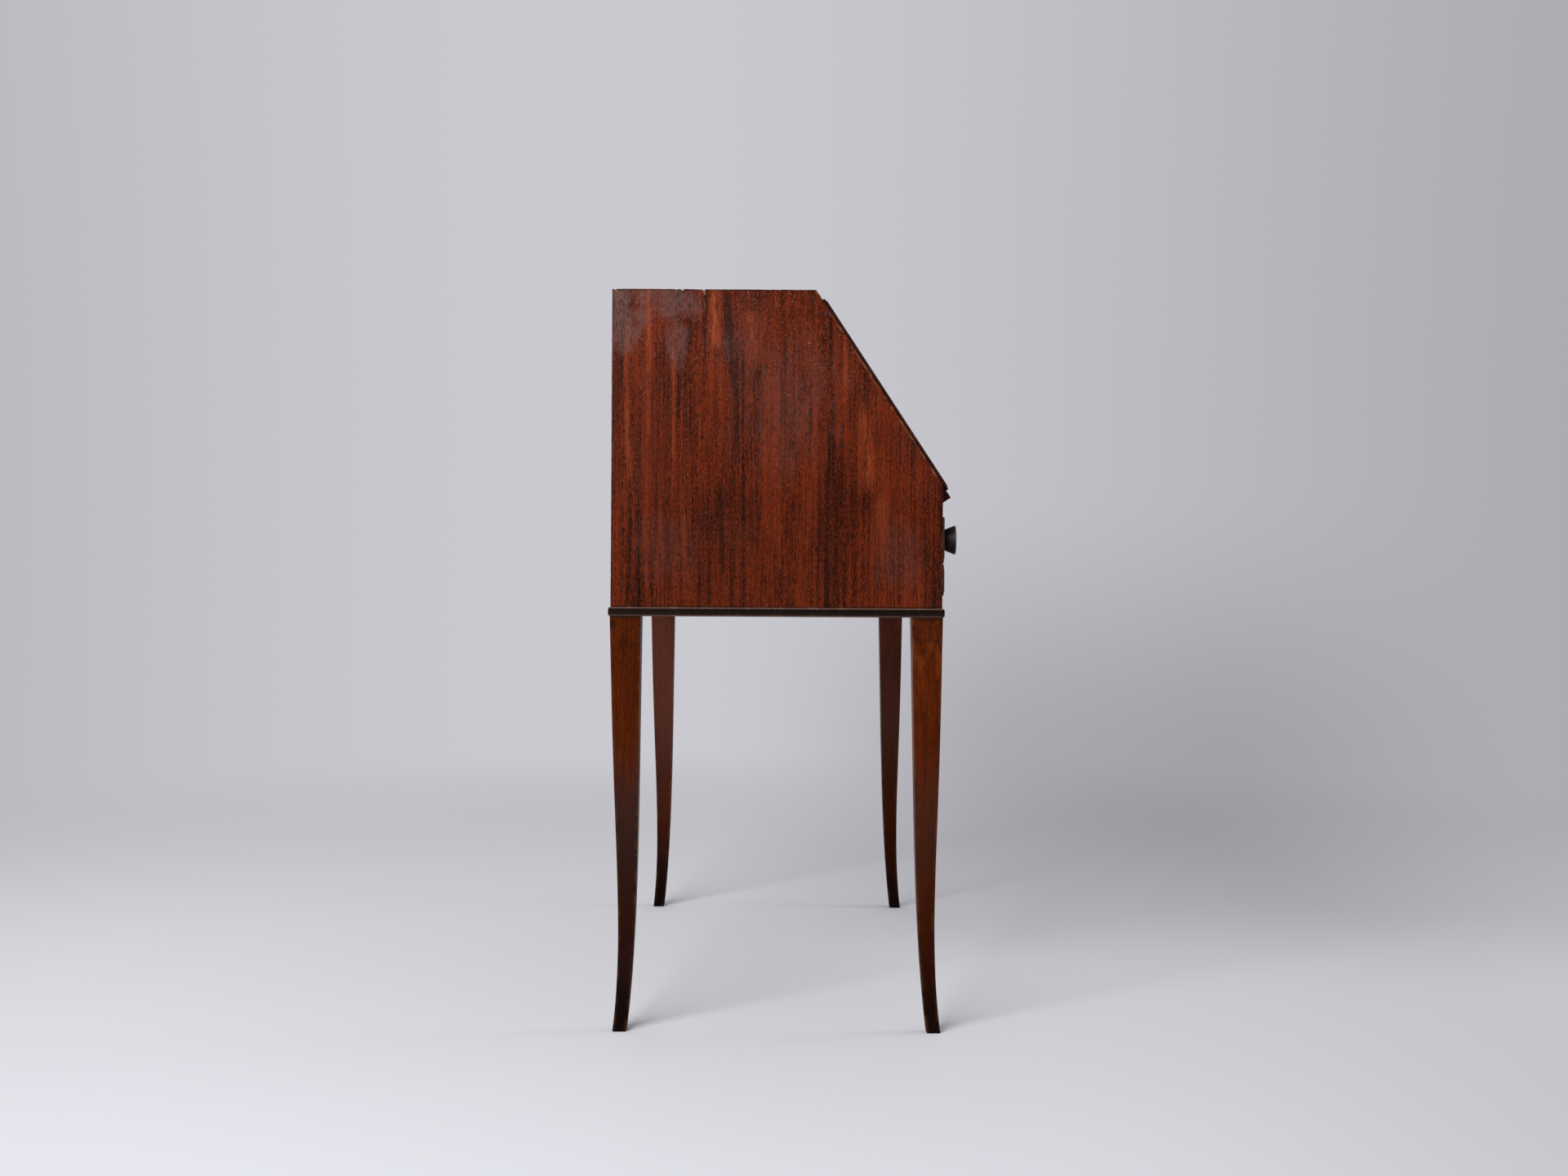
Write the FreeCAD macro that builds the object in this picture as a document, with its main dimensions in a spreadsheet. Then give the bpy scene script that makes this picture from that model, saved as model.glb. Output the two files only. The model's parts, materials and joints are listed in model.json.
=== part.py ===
import FreeCAD, Part
import os
import re

# Document and driving dimensions
doc = FreeCAD.newDocument("escritoire")
sheet = doc.addObject("Spreadsheet::Sheet", "dims")

dimensions = {
    "case_width": 860,
    "case_depth": 460,
    "case_height": 441,
    "leg_height": 576.5,
    "side_thick": 20,
    "slant_angle": 56.6,
    "slant_rise": 173,
    "top_thick": 18,
    "writing_rise": 146.5,
    "bottom_thick": 17.5,
    "back_thick": 10,
    "housing": 7,
    "fit_gap": 1,
    "seat_gap": 0.4,
    "lip_thick": 4,
    "lip_inset": 5,
    "lip_step": 5,
    "lip_low": 2,
    "edge_round": 1,
    "base_thick": 12.5,
    "base_overhang": 3,
    "base_strip": 10,
    "base_round": 3,
    "leg_proud": 1,
    "knee_share": 0.69,
    "calf_share": 0.395,
    "ankle_share": 0.198,
    "outer_top": 0,
    "outer_knee": 3.9,
    "outer_calf": 9.3,
    "outer_ankle": 10.6,
    "outer_foot": 3.4,
    "inner_top": 43,
    "inner_knee": 40.2,
    "inner_calf": 37,
    "inner_ankle": 32.4,
    "inner_foot": 22.8,
    "leg_round": 1.5,
    "tenon_radius": 9,
    "tenon_rise": 12,
    "pivot_reach": 0.8,
    "lid_core": 14.3,
    "lid_clear": 2,
    "facing_start": 12,
    "facing_overlap": 8,
    "cleat_width": 60,
    "cleat_tongue": 8,
    "cleat_tongue_thick": 5,
    "knob_base": 13.3,
    "knob_face": 21.3,
    "knob_length": 17.4,
    "knob_round": 2,
    "spigot_radius": 5,
    "spigot_length": 12,
    "small_base": 8,
    "small_face": 13,
    "small_length": 13,
    "small_spigot": 8,
    "tiny_base": 5,
    "tiny_face": 8,
    "tiny_length": 11,
    "tiny_spigot": 6,
    "lid_knob_down": 38,
    "row_rise": 127.2,
    "split_rise": 62.5,
    "row_gap": 0.8,
    "blade_thick": 8,
    "blade_depth": 50,
    "guide_thick": 10,
    "loper_width": 44,
    "loper_length": 330,
    "loper_gap": 0.3,
    "cap_side": 64.4,
    "front_core": 16,
    "drawer_side": 10,
    "drawer_back": 8,
    "drawer_bottom": 5,
    "bottom_rise": 6,
    "groove": 4,
    "side_joint": 8,
    "drawer_clear": 25,
    "side_drop": 4,
    "drawer_knob_x": 140,
    "fitment_depth": 210,
    "fitment_board": 6,
    "inner_row": 60,
    "partition_x": 150,
    "divider_scoop": 170,
    "scoop_ahead": 127.5,
    "inner_front": 12,
    "inner_wall": 6,
    "inner_bottom": 4,
    "inner_gap": 0.8,
    "hinge_inset": 160,
    "hinge_length": 50,
    "leaf_width": 24,
    "leaf_thick": 1.8,
    "leaf_screw_line": 15,
    "barrel_radius": 2.6,
    "barrel_clear": 0.4,
    "pin_radius": 1.3,
    "pin_fit": 0.05,
    "knuckle_gap": 0.15,
    "screw_head": 3,
    "screw_shank": 1.4,
    "screw_head_depth": 1.5,
    "screw_length": 9,
    "back_screw_length": 25,
}
for row, (alias, value) in enumerate(dimensions.items(), start=1):
    sheet.set("A%d" % row, alias)
    sheet.set("B%d" % row, str(value))
    sheet.setAlias("B%d" % row, alias)
doc.recompute()

# Heights above the floor, each tied to the foot of the case
heights = {
    "case_foot": "(leg_height + base_thick)",
    "overall_height": "(leg_height + base_thick + case_height)",
    "slant_foot": "(leg_height + base_thick + slant_rise)",
    "writing_top": "(leg_height + base_thick + writing_rise)",
    "row_top": "(leg_height + base_thick + row_rise)",
    "row_split": "(leg_height + base_thick + split_rise)",
}

# Positions that several pieces share, written in the names above
FRONT = "((knob_length + lip_thick + seat_gap - case_depth - base_overhang) / 2)"
BACK = "(%s + case_depth)" % FRONT
LEFT = "(-case_width / 2)"
CASE_FOOT = "case_foot"
INSIDE = "(case_width - 2 * side_thick)"
INNER_LEFT = "(side_thick - case_width / 2)"
FLOOR_TOP = "(%s + bottom_thick)" % CASE_FOOT
LID_THICK = "(lid_core + lip_thick)"
WRITING_UNDER = "(writing_top - lid_core - lip_thick)"
TOP_UNDER = "(overall_height - top_thick)"
PIVOT_Y = "(%s - pivot_reach)" % FRONT
BLADE_Z = "(row_split - blade_thick / 2)"
LIP_Y = "(%s - lip_thick - seat_gap)" % FRONT
FITMENT_Y = "(%s - back_thick - fitment_depth)" % BACK
UPPER_LOW = "(writing_top + inner_row + fitment_board)"
DRAWER_LENGTH = "(case_depth - back_thick - drawer_clear)"
HINGE_X = "(case_width / 2 - hinge_inset)"
SINE = "sin(slant_angle * 1 deg)"
COSINE = "cos(slant_angle * 1 deg)"
SLANT_START = "(pivot_reach * %s + (slant_foot - writing_top) * %s)" % (COSINE, SINE)
LID_LENGTH = "((%s - slant_foot) / %s + %s - lid_clear)" % (TOP_UNDER, SINE, SLANT_START)
FACING_END = "(%s + facing_overlap)" % LID_LENGTH
TOUCH = 0.01


# Helpers that make one bound object each
def expression(text):
    """Write out the heights and put the sheet's name before every dimension that the text mentions."""
    def swap(match):
        word = match.group(0)
        if word in heights:
            return expression(heights[word])
        return "dims." + word if word in dimensions else word
    return re.sub(r"[a-z_]+", swap, str(text))


def bind(thing, **texts):
    """Bind each named property to an expression."""
    for name, text in texts.items():
        thing.setExpression(name, expression(text))


def place(thing, x, y, z, axis=None, angle=0):
    """Turn the piece about an axis by a fixed angle, then bind its position."""
    if axis is not None:
        thing.Placement = FreeCAD.Placement(FreeCAD.Vector(), FreeCAD.Rotation(axis, angle))
    for letter, text in zip("xyz", (x, y, z)):
        thing.setExpression("Placement.Base." + letter, expression(text))


def box(label, x, y, z, length, width, height):
    """A board with its lowest corner at x, y, z."""
    thing = doc.addObject("Part::Box", label)
    bind(thing, Length=length, Width=width, Height=height)
    place(thing, x, y, z)
    return thing


X_AXIS = FreeCAD.Vector(1, 0, 0)
Y_AXIS = FreeCAD.Vector(0, 1, 0)
Z_AXIS = FreeCAD.Vector(0, 0, 1)
TOWARD = {"right": (Y_AXIS, 90), "front": (X_AXIS, 90), "up": (None, 0), "down": (X_AXIS, 180)}


def cylinder(label, x, y, z, radius, height, toward="up"):
    """A round bar that starts at x, y, z."""
    thing = doc.addObject("Part::Cylinder", label)
    bind(thing, Radius=radius, Height=height)
    place(thing, x, y, z, *TOWARD[toward])
    return thing


def cone(label, x, y, z, start, end, height, toward="up"):
    """A tapered round that starts at x, y, z."""
    thing = doc.addObject("Part::Cone", label)
    bind(thing, Radius1=start, Radius2=end, Height=height)
    place(thing, x, y, z, *TOWARD[toward])
    return thing


def cut(label, base, *tools):
    """Take each tool away from the base in turn."""
    for tool in tools:
        result = doc.addObject("Part::Cut", label)
        result.Base = base
        result.Tool = tool
        base = result
    return base


def fuse(label, *shapes):
    """Join shapes into one solid."""
    result = doc.addObject("Part::MultiFuse", label)
    result.Shapes = list(shapes)
    result.Refine = True
    return result


def group(label, shapes):
    """Hold several separate solids as one node."""
    result = doc.addObject("Part::Compound", label)
    result.Links = list(shapes)
    return result


def rounded(label, base, wanted, radius):
    """Round the edges of the base whose middle point and direction pass a test."""
    doc.recompute()
    chosen = []
    for number, edge in enumerate(base.Shape.Edges, start=1):
        middle = edge.valueAt((edge.FirstParameter + edge.LastParameter) / 2)
        if wanted(edge, middle):
            chosen.append((number, dimensions[radius], dimensions[radius]))
    result = doc.addObject("Part::Fillet", label)
    result.Base = base
    result.Edges = chosen
    return result


nodes = []


def node(thing, label):
    """Keep an object as a sub-part of the desk under its own label."""
    thing.Label = label
    nodes.append(thing)
    return thing


def on_slant(thing):
    """Lay a piece drawn flat onto the slope of the lid, about the hinge line."""
    thing.Placement = FreeCAD.Placement(FreeCAD.Vector(), FreeCAD.Rotation(X_AXIS, dimensions["slant_angle"]))
    thing.setExpression("Placement.Base.y", expression(PIVOT_Y))
    thing.setExpression("Placement.Base.z", expression("writing_top"))
    thing.setExpression("Placement.Rotation.Angle", expression("slant_angle"))
    return thing


# Legs: square sabre legs lofted through five squares, with a round tenon on top
STATIONS = (("leg_height", "top"), ("leg_height * knee_share", "knee"), ("leg_height * calf_share", "calf"),
            ("leg_height * ankle_share", "ankle"), ("0", "foot"))
HALF_LEG = dimensions["leg_height"] / 2
tenons = []
for depth_word in ("front", "back"):
    for side_word in ("left", "right"):
        squares = []
        for height, station in STATIONS:
            outer, inner = "outer_" + station, "inner_" + station
            square = doc.addObject("Part::Plane", "leg_square")
            bind(square, Length=inner + " - " + outer, Width=inner + " - " + outer)
            near_x = "%s - leg_proud + %s" % (LEFT, outer)
            far_x = "case_width / 2 + leg_proud - %s" % inner
            near_y = "%s - leg_proud + %s" % (FRONT, outer)
            far_y = "%s + leg_proud - %s" % (BACK, inner)
            place(square, near_x if side_word == "left" else far_x,
                  near_y if depth_word == "front" else far_y, height)
            squares.append(square)
        shaft = doc.addObject("Part::Loft", "leg_shaft")
        shaft.Sections = squares
        shaft.Solid = True
        shaft.Ruled = False
        middle = "(inner_top / 2 - leg_proud)"
        tenon_x = LEFT + " + " + middle if side_word == "left" else "case_width / 2 - " + middle
        tenon_y = FRONT + " + " + middle if depth_word == "front" else BACK + " - " + middle
        tenon = cylinder("leg_tenon", tenon_x, tenon_y, "leg_height", "tenon_radius",
                         "base_thick + tenon_rise")
        tenons.append(tenon)
        eased = rounded("leg_eased", shaft, lambda edge, at: edge.Length > HALF_LEG, "leg_round")
        node(fuse("leg", eased, tenon), "leg_%s_%s" % (depth_word, side_word))
tenon_set = group("tenon_set", tenons)

# Base: a thin board under the case with four mitred strips of moulding round it
base_stock = box("base_stock", LEFT + " + base_strip - base_overhang",
                 FRONT + " + base_strip - base_overhang", "leg_height",
                 "case_width - 2 * (base_strip - base_overhang)",
                 "case_depth - 2 * (base_strip - base_overhang)", "base_thick")
node(cut("base_bored", base_stock, tenon_set), "base_board")
OUT_X = "(case_width / 2 + base_overhang)"
LONG = "(case_width + 2 * base_overhang)"
DEEP = "(case_depth + 2 * base_overhang)"
STRIPS = (("front", LONG, 0, "-" + OUT_X, FRONT + " - base_overhang"),
          ("right", DEEP, 90, OUT_X, FRONT + " - base_overhang"),
          ("back", LONG, 180, OUT_X, BACK + " + base_overhang"),
          ("left", DEEP, 270, "-" + OUT_X, BACK + " + base_overhang"))
for word, length, turn, x, y in STRIPS:
    strip = doc.addObject("Part::Wedge", "strip")
    bind(strip, Xmin="0", Xmax=length, Ymin="0", Ymax="base_strip", Zmin="0", Zmax="base_thick",
         X2min="base_strip", X2max=length + " - base_strip", Z2min="0", Z2max="base_thick")
    long_edge = dimensions["case_depth"]
    moulding = rounded("strip_rounded", strip,
                       lambda edge, at: abs(at.y) < TOUCH and edge.Length > long_edge, "base_round")
    place(moulding, x, y, "leg_height", Z_AXIS, turn)
    node(moulding, "base_moulding_" + word)

# Case boards: bottom, writing board, top, blade and dust board, all housed in the sides
HOUSED_X = INNER_LEFT + " - housing"
HOUSED = INSIDE + " + 2 * housing"
bottom_stock = box("bottom_stock", HOUSED_X, FRONT, CASE_FOOT, HOUSED, "case_depth - back_thick",
                   "bottom_thick")
writing_stock = box("writing_stock", HOUSED_X, PIVOT_Y + " + seat_gap", WRITING_UNDER, HOUSED,
                    "case_depth - back_thick + pivot_reach - seat_gap", LID_THICK)
top_stock = box("top_stock", HOUSED_X, FRONT, TOP_UNDER, HOUSED, "case_depth", "top_thick")
back_stock = box("back_stock", HOUSED_X, BACK + " - back_thick", CASE_FOOT, HOUSED, "back_thick",
                 TOP_UNDER + " - " + CASE_FOOT)
blade = box("blade", HOUSED_X, FRONT, BLADE_Z, HOUSED, "blade_depth", "blade_thick")
dust_board = box("dust_board", HOUSED_X, FRONT + " + blade_depth", BLADE_Z, HOUSED,
                 "case_depth - back_thick - blade_depth", "blade_thick")
shelf = box("inner_shelf", HOUSED_X, FITMENT_Y, "writing_top + inner_row", HOUSED, "fitment_depth",
            "fitment_board")
node(blade, "drawer_blade")
node(dust_board, "dust_board")
node(shelf, "inner_shelf")

# Slope cutter: everything outside the slanted plane of the sides and the top
slope = box("slope", "-case_width", "-case_depth", "0", "2 * case_width", "3 * case_depth", "case_depth")
slope.Placement = FreeCAD.Placement(FreeCAD.Vector(), FreeCAD.Rotation(X_AXIS, dimensions["slant_angle"]))
slope.setExpression("Placement.Rotation.Angle", expression("slant_angle"))
slope.setExpression("Placement.Base.x", expression("-case_width"))
slope.setExpression("Placement.Base.y", expression(FRONT + " - case_depth * " + COSINE))
slope.setExpression("Placement.Base.z", expression("slant_foot - case_depth * " + SINE))
node(cut("top_sloped", top_stock, slope), "top_board")

# Screws: countersunk, drawn at their places and used to bore what they hold
def screw(label, x, y, z, toward, length="screw_length"):
    """A countersunk screw whose head starts at x, y, z and points the way given."""
    head = cone(label + "_head", x, y, z, "screw_head", "screw_shank", "screw_head_depth", toward)
    shank = cylinder(label + "_shank", x, y, z, "screw_shank", length, toward)
    return fuse(label, head, shank)


back_spots = []
for x in (LEFT + " + side_thick - housing / 2", "case_width / 2 - side_thick + housing / 2"):
    back_spots.append((x, "(%s + %s) / 2" % (FLOOR_TOP, BLADE_Z)))
    for share in (0.15, 0.5, 0.85):
        back_spots.append((x, "%s + (%s - %s) * %s" % (UPPER_LOW, TOP_UNDER, UPPER_LOW, share)))
for share in (-0.3, 0, 0.3):
    back_spots.append(("case_width * %s" % share, WRITING_UNDER + " + " + LID_THICK + " / 2"))
    back_spots.append(("case_width * %s" % share, CASE_FOOT + " + bottom_thick / 2"))
back_screws = group("back_screw_set", [screw("back_screw", x, BACK, z, "front", "back_screw_length")
                                       for x, z in back_spots])
node(back_screws, "back_panel_screws")
node(cut("back_bored", back_stock, back_screws), "back_panel")
node(cut("bottom_bored", bottom_stock, tenon_set, back_screws), "bottom_board")

# Side panels: one board each, cut on the slope and housed for every board and the back
for word, x in (("left", LEFT), ("right", "case_width / 2 - side_thick")):
    panel = box("side_stock", x, FRONT, CASE_FOOT, "side_thick", "case_depth", "case_height")
    panel = cut("side_housed", panel, slope, bottom_stock, writing_stock, top_stock, back_stock, blade,
                dust_board, shelf, tenon_set, back_screws)
    node(panel, "side_panel_" + word)

# Hinges: two brass butts let in flush, with a pin through five knuckles
KNUCKLE = "(hinge_length / 5)"


def leaf(label, centre, numbers, flip):
    """A hinge plate with its knuckles, flat on the surface and turned about the hinge line."""
    low = "(-leaf_thick)" if flip < 0 else "0"
    plate = box(label + "_plate", "%s - hinge_length / 2" % centre, "barrel_radius + barrel_clear", low,
                "hinge_length", "leaf_width - barrel_radius - barrel_clear", "leaf_thick")
    shapes = [plate]
    for number in numbers:
        start = "%s - hinge_length / 2 + %s * %d + knuckle_gap" % (centre, KNUCKLE, number)
        wide = KNUCKLE + " - 2 * knuckle_gap"
        shapes.append(box(label + "_tab", start, "0", low, wide, "barrel_radius + barrel_clear + leaf_thick",
                          "leaf_thick"))
        shapes.append(cylinder(label + "_knuckle", start, "0", "0", "barrel_radius", wide, "right"))
    hole = cylinder(label + "_hole", "%s - hinge_length" % centre, "0", "0",
                    "pin_radius" if flip < 0 else "pin_radius + pin_fit", "2 * hinge_length", "right")
    joined = fuse(label + "_joined", *shapes)
    joined.Refine = False
    return cut(label, joined, hole)


def leaf_screws(label, centre, toward):
    """Two screws down through one hinge plate."""
    return [screw(label, "%s + hinge_length * %s" % (centre, share), "leaf_screw_line", "0", toward)
            for share in (-0.3, 0.3)]


def hollows(label, centre, low):
    """The recess that one hinge plate and its barrel need in the wood."""
    seat = box(label + "_seat", "%s - hinge_length / 2" % centre, "0", low, "hinge_length", "leaf_width",
               "leaf_thick")
    round_seat = cylinder(label + "_round", "%s - hinge_length / 2" % centre, "0", "0",
                          "barrel_radius + barrel_clear", "hinge_length", "right")
    return [seat, round_seat]


def at_pivot(thing):
    """Set a piece drawn about the hinge line at its height and depth in the case."""
    place(thing, "0", PIVOT_Y, "writing_top")
    return thing


CENTRES = ("-" + HINGE_X, HINGE_X)
case_screws = group("case_screw_set", [one for c in CENTRES for one in leaf_screws("case_screw", c, "down")])
case_leaves = [leaf("case_leaf", c, (0, 2, 4), -1) for c in CENTRES]
case_leaf_set = cut("case_leaf_set", group("case_leaf_pair", case_leaves), case_screws)
pins = group("pin_set", [cylinder("pin", "%s - hinge_length / 2" % c, "0", "0", "pin_radius", "hinge_length",
                                  "right") for c in CENTRES])
case_hollow = group("case_hollow", [one for c in CENTRES for one in hollows("case_hollow", c, "-leaf_thick")])
writing_local = box("writing_local", HOUSED_X, "seat_gap", "-" + LID_THICK, HOUSED,
                    "case_depth - back_thick + pivot_reach - seat_gap", LID_THICK)
writing = at_pivot(cut("writing_cut", writing_local, case_hollow, case_screws))
node(cut("writing_bored", writing, back_screws), "writing_board")
node(at_pivot(group("case_leaves_node", [case_leaf_set])), "hinge_case_leaves")
node(at_pivot(group("pins_node", [pins])), "hinge_pins")
node(at_pivot(group("case_screws_node", [case_screws])), "hinge_case_screws")

# Lid: a board with a cleat tongued on at each end, a moulded facing glued over it, and one knob
LID_SIDE = "(side_thick - case_width / 2 + fit_gap)"
LID_WIDE = "(case_width - 2 * side_thick - 2 * fit_gap)"
lid_screws = group("lid_screw_set", [one for c in CENTRES for one in leaf_screws("lid_screw", c, "up")])
lid_leaves = [leaf("lid_leaf", c, (1, 3), 1) for c in CENTRES]
lid_leaf_set = cut("lid_leaf_set", group("lid_leaf_pair", lid_leaves), lid_screws)
lid_hollow = group("lid_hollow", [one for c in CENTRES for one in hollows("lid_hollow", c, "0")])
knob_spot = "(%s - lid_knob_down)" % LID_LENGTH
lid_spigot = cylinder("lid_spigot", "0", knob_spot, LID_THICK + " - spigot_length", "spigot_radius",
                      "spigot_length")
tongue_low = "(lid_core - cleat_tongue_thick) / 2"
tongue_left = box("tongue_left", LID_SIDE + " + cleat_width - cleat_tongue", "0", tongue_low, "cleat_tongue",
                  LID_LENGTH, "cleat_tongue_thick")
tongue_right = box("tongue_right", "-(%s) - cleat_width" % LID_SIDE, "0", tongue_low, "cleat_tongue",
                   LID_LENGTH, "cleat_tongue_thick")
lid_middle = box("lid_middle", LID_SIDE + " + cleat_width", "0", "0", LID_WIDE + " - 2 * cleat_width",
                 LID_LENGTH, "lid_core")
lid_solid = fuse("lid_solid", lid_middle, tongue_left, tongue_right)
node(on_slant(cut("lid_board_cut", lid_solid, lid_hollow, lid_screws, lid_spigot)), "lid_board")
RIGHT_CLEAT = "-(%s) - cleat_width" % LID_SIDE
for word, x, tongue in (("left", LID_SIDE, tongue_left), ("right", RIGHT_CLEAT, tongue_right)):
    cleat = box("cleat", x, "0", "0", "cleat_width", LID_LENGTH, "lid_core")
    node(on_slant(cut("cleat_cut", cleat, tongue)), "lid_cleat_" + word)
facing_low = box("facing_low", LEFT + " + lip_inset", "facing_start", "lid_core",
                 "case_width - 2 * lip_inset", FACING_END + " - facing_start", "lip_low")
facing_ovolo = rounded("facing_ovolo", facing_low,
                       lambda edge, at: abs(at.z - dimensions["lid_core"] - dimensions["lip_low"]) < TOUCH,
                       "edge_round")
facing_field = box("facing_field", LEFT + " + lip_inset + lip_step", "facing_start + lip_step", "lid_core",
                   "case_width - 2 * lip_inset - 2 * lip_step",
                   FACING_END + " - facing_start - 2 * lip_step", "lip_thick")
facing = fuse("facing", facing_ovolo, facing_field)
node(on_slant(cut("facing_bored", facing, lid_spigot)), "lid_facing")
node(on_slant(group("lid_leaves_node", [lid_leaf_set])), "hinge_lid_leaves")
node(on_slant(group("lid_screws_node", [lid_screws])), "hinge_lid_screws")


def knob(label, x, y, z, kind, toward):
    """A turned flared knob with a round face edge, standing on the wood at x, y, z."""
    body = cone(label + "_body", x, y, z, kind + "_base", kind + "_face", kind + "_length", toward)
    face_radius = dimensions[kind + "_face"]

    def on_face(edge, at):
        return hasattr(edge.Curve, "Radius") and abs(edge.Curve.Radius - face_radius) < TOUCH
    return rounded(label + "_turned", body, on_face, "knob_round")


lid_turned = knob("lid_knob", "0", knob_spot, LID_THICK, "knob", "up")
node(on_slant(fuse("lid_knob", lid_turned, lid_spigot)), "lid_knob")

# Lopers: two square bars that slide out under the lid, each with a moulded cap and a knob
LOPER_FLOOR = "(%s + blade_thick + seat_gap)" % BLADE_Z
CAP_Z = "(row_split + row_gap / 2)"
for word, sign in (("left", -1), ("right", 1)):
    bar_x = INNER_LEFT + " + fit_gap" if sign < 0 else "-(%s) - fit_gap - loper_width" % INNER_LEFT
    cap_x = LEFT + " + lip_inset" if sign < 0 else "case_width / 2 - lip_inset - cap_side"
    bar = box("loper_bar", bar_x, FRONT + " - seat_gap", LOPER_FLOOR, "loper_width", "loper_length",
              "%s - loper_gap - %s" % (WRITING_UNDER, LOPER_FLOOR))
    cap = box("loper_cap", cap_x, LIP_Y, CAP_Z, "cap_side", "lip_thick", "row_top - " + CAP_Z)
    middle_x, middle_z = cap_x + " + cap_side / 2", "(%s + row_top) / 2" % CAP_Z
    spigot = cylinder("loper_spigot", middle_x, LIP_Y + " + spigot_length", middle_z, "spigot_radius",
                      "spigot_length", "front")
    turned = knob("loper_knob", middle_x, LIP_Y, middle_z, "knob", "front")
    node(cut("loper_bar_bored", bar, spigot), "loper_bar_" + word)
    node(cut("loper_cap_bored", cap, spigot), "loper_cap_" + word)
    node(fuse("loper_knob_joined", turned, spigot), "loper_knob_" + word)
    guide_x = INNER_LEFT + " + 2 * fit_gap + loper_width"
    if sign > 0:
        guide_x = "-(%s) - guide_thick" % guide_x
    guide = box("loper_guide", guide_x, FRONT, BLADE_Z + " + blade_thick", "guide_thick",
                "case_depth - back_thick", "%s - %s - blade_thick" % (WRITING_UNDER, BLADE_Z))
    node(guide, "loper_guide_" + word)


# Drawers: lipped front, two sides, a back and a bottom in grooves, and two knobs
def drawer(name, open_left, open_low, open_high, lip_left, lip_low, lip_high, kind):
    """Make the six nodes of one drawer from its opening and the outline of its lip."""
    left = "(%s + fit_gap)" % open_left
    wide = "(-2 * %s)" % left
    low = "(%s + seat_gap)" % open_low
    high = "(%s - fit_gap)" % open_high
    start = "(%s - seat_gap)" % FRONT
    behind = "(%s + front_core)" % FRONT
    bottom = box(name + "_bottom", left + " + drawer_side - groove", behind + " - groove",
                 low + " + bottom_rise", wide + " - 2 * drawer_side + 2 * groove",
                 DRAWER_LENGTH + " - front_core + groove", "drawer_bottom")
    sides = []
    for word, x in (("left", left), ("right", "-%s - drawer_side" % left)):
        side = box(name + "_side", x, behind + " - side_joint", low, "drawer_side",
                   DRAWER_LENGTH + " - front_core + side_joint", "%s - side_drop - %s" % (high, low))
        sides.append(side)
        node(cut(name + "_side_grooved", side, bottom), "%s_side_%s" % (name, word))
    node(bottom, name + "_bottom")
    over = "(%s + bottom_rise + drawer_bottom)" % low
    back_y = "%s - front_core + %s - drawer_back" % (behind, DRAWER_LENGTH)
    back = box(name + "_back", left + " + drawer_side", back_y, over, wide + " - 2 * drawer_side",
               "drawer_back", "%s - side_drop - %s" % (high, over))
    node(back, name + "_back")
    core = box(name + "_core", left, start, low, wide, "front_core + seat_gap", "%s - %s" % (high, low))
    plate = box(name + "_plate", lip_left, LIP_Y, lip_low, "-2 * (%s)" % lip_left, "lip_thick",
                "%s - %s" % (lip_high, lip_low))
    centre_z = "(%s + %s) / 2" % (lip_low, lip_high)
    spigots = []
    knobs = []
    for x in ("-drawer_knob_x", "drawer_knob_x"):
        length = "spigot_length" if kind == "knob" else kind + "_spigot"
        spigot = cylinder(name + "_spigot", x, "%s + %s" % (LIP_Y, length), centre_z, "spigot_radius",
                          length, "front")
        spigots.append(spigot)
        knobs.append(fuse(name + "_knob", knob(name + "_knob", x, LIP_Y, centre_z, kind, "front"), spigot))
    front = cut(name + "_front_cut", fuse(name + "_lipped", core, plate), bottom, *(sides + spigots))
    node(front, name + "_front")
    node(group(name + "_knob_pair", knobs), name + "_knobs")


guide_inside = "(%s + 2 * fit_gap + loper_width + guide_thick)" % INNER_LEFT
drawer("upper_drawer", guide_inside, "(%s + blade_thick)" % BLADE_Z, WRITING_UNDER,
       "(%s + lip_inset + cap_side + row_gap)" % LEFT, CAP_Z, "row_top", "knob")
drawer("lower_drawer", INNER_LEFT, FLOOR_TOP, BLADE_Z, "(%s + lip_inset)" % LEFT,
       "(%s + seat_gap)" % FLOOR_TOP, "(row_split - row_gap / 2)", "small")

# Inner fitment: two partitions, four scooped dividers over the shelf, and two small drawers
partitions = [box("partition", x, FITMENT_Y, "writing_top", "fitment_board", "fitment_depth", "inner_row")
              for x in ("-partition_x - fitment_board", "partition_x")]
node(group("partition_pair", partitions), "inner_partitions")
dividers = [box("divider", "%s * %s - fitment_board / 2" % (INSIDE, share), FITMENT_Y, UPPER_LOW,
                "fitment_board", "fitment_depth", "%s - %s" % (TOP_UNDER, UPPER_LOW))
            for share in (-0.3, -0.1, 0.1, 0.3)]
scoop = cylinder("scoop", "-case_width", FITMENT_Y + " - scoop_ahead",
                 "(%s + %s) / 2" % (UPPER_LOW, TOP_UNDER), "divider_scoop", "2 * case_width", "right")
node(cut("dividers_scooped", group("divider_set", dividers), scoop), "pigeonhole_dividers")
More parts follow.
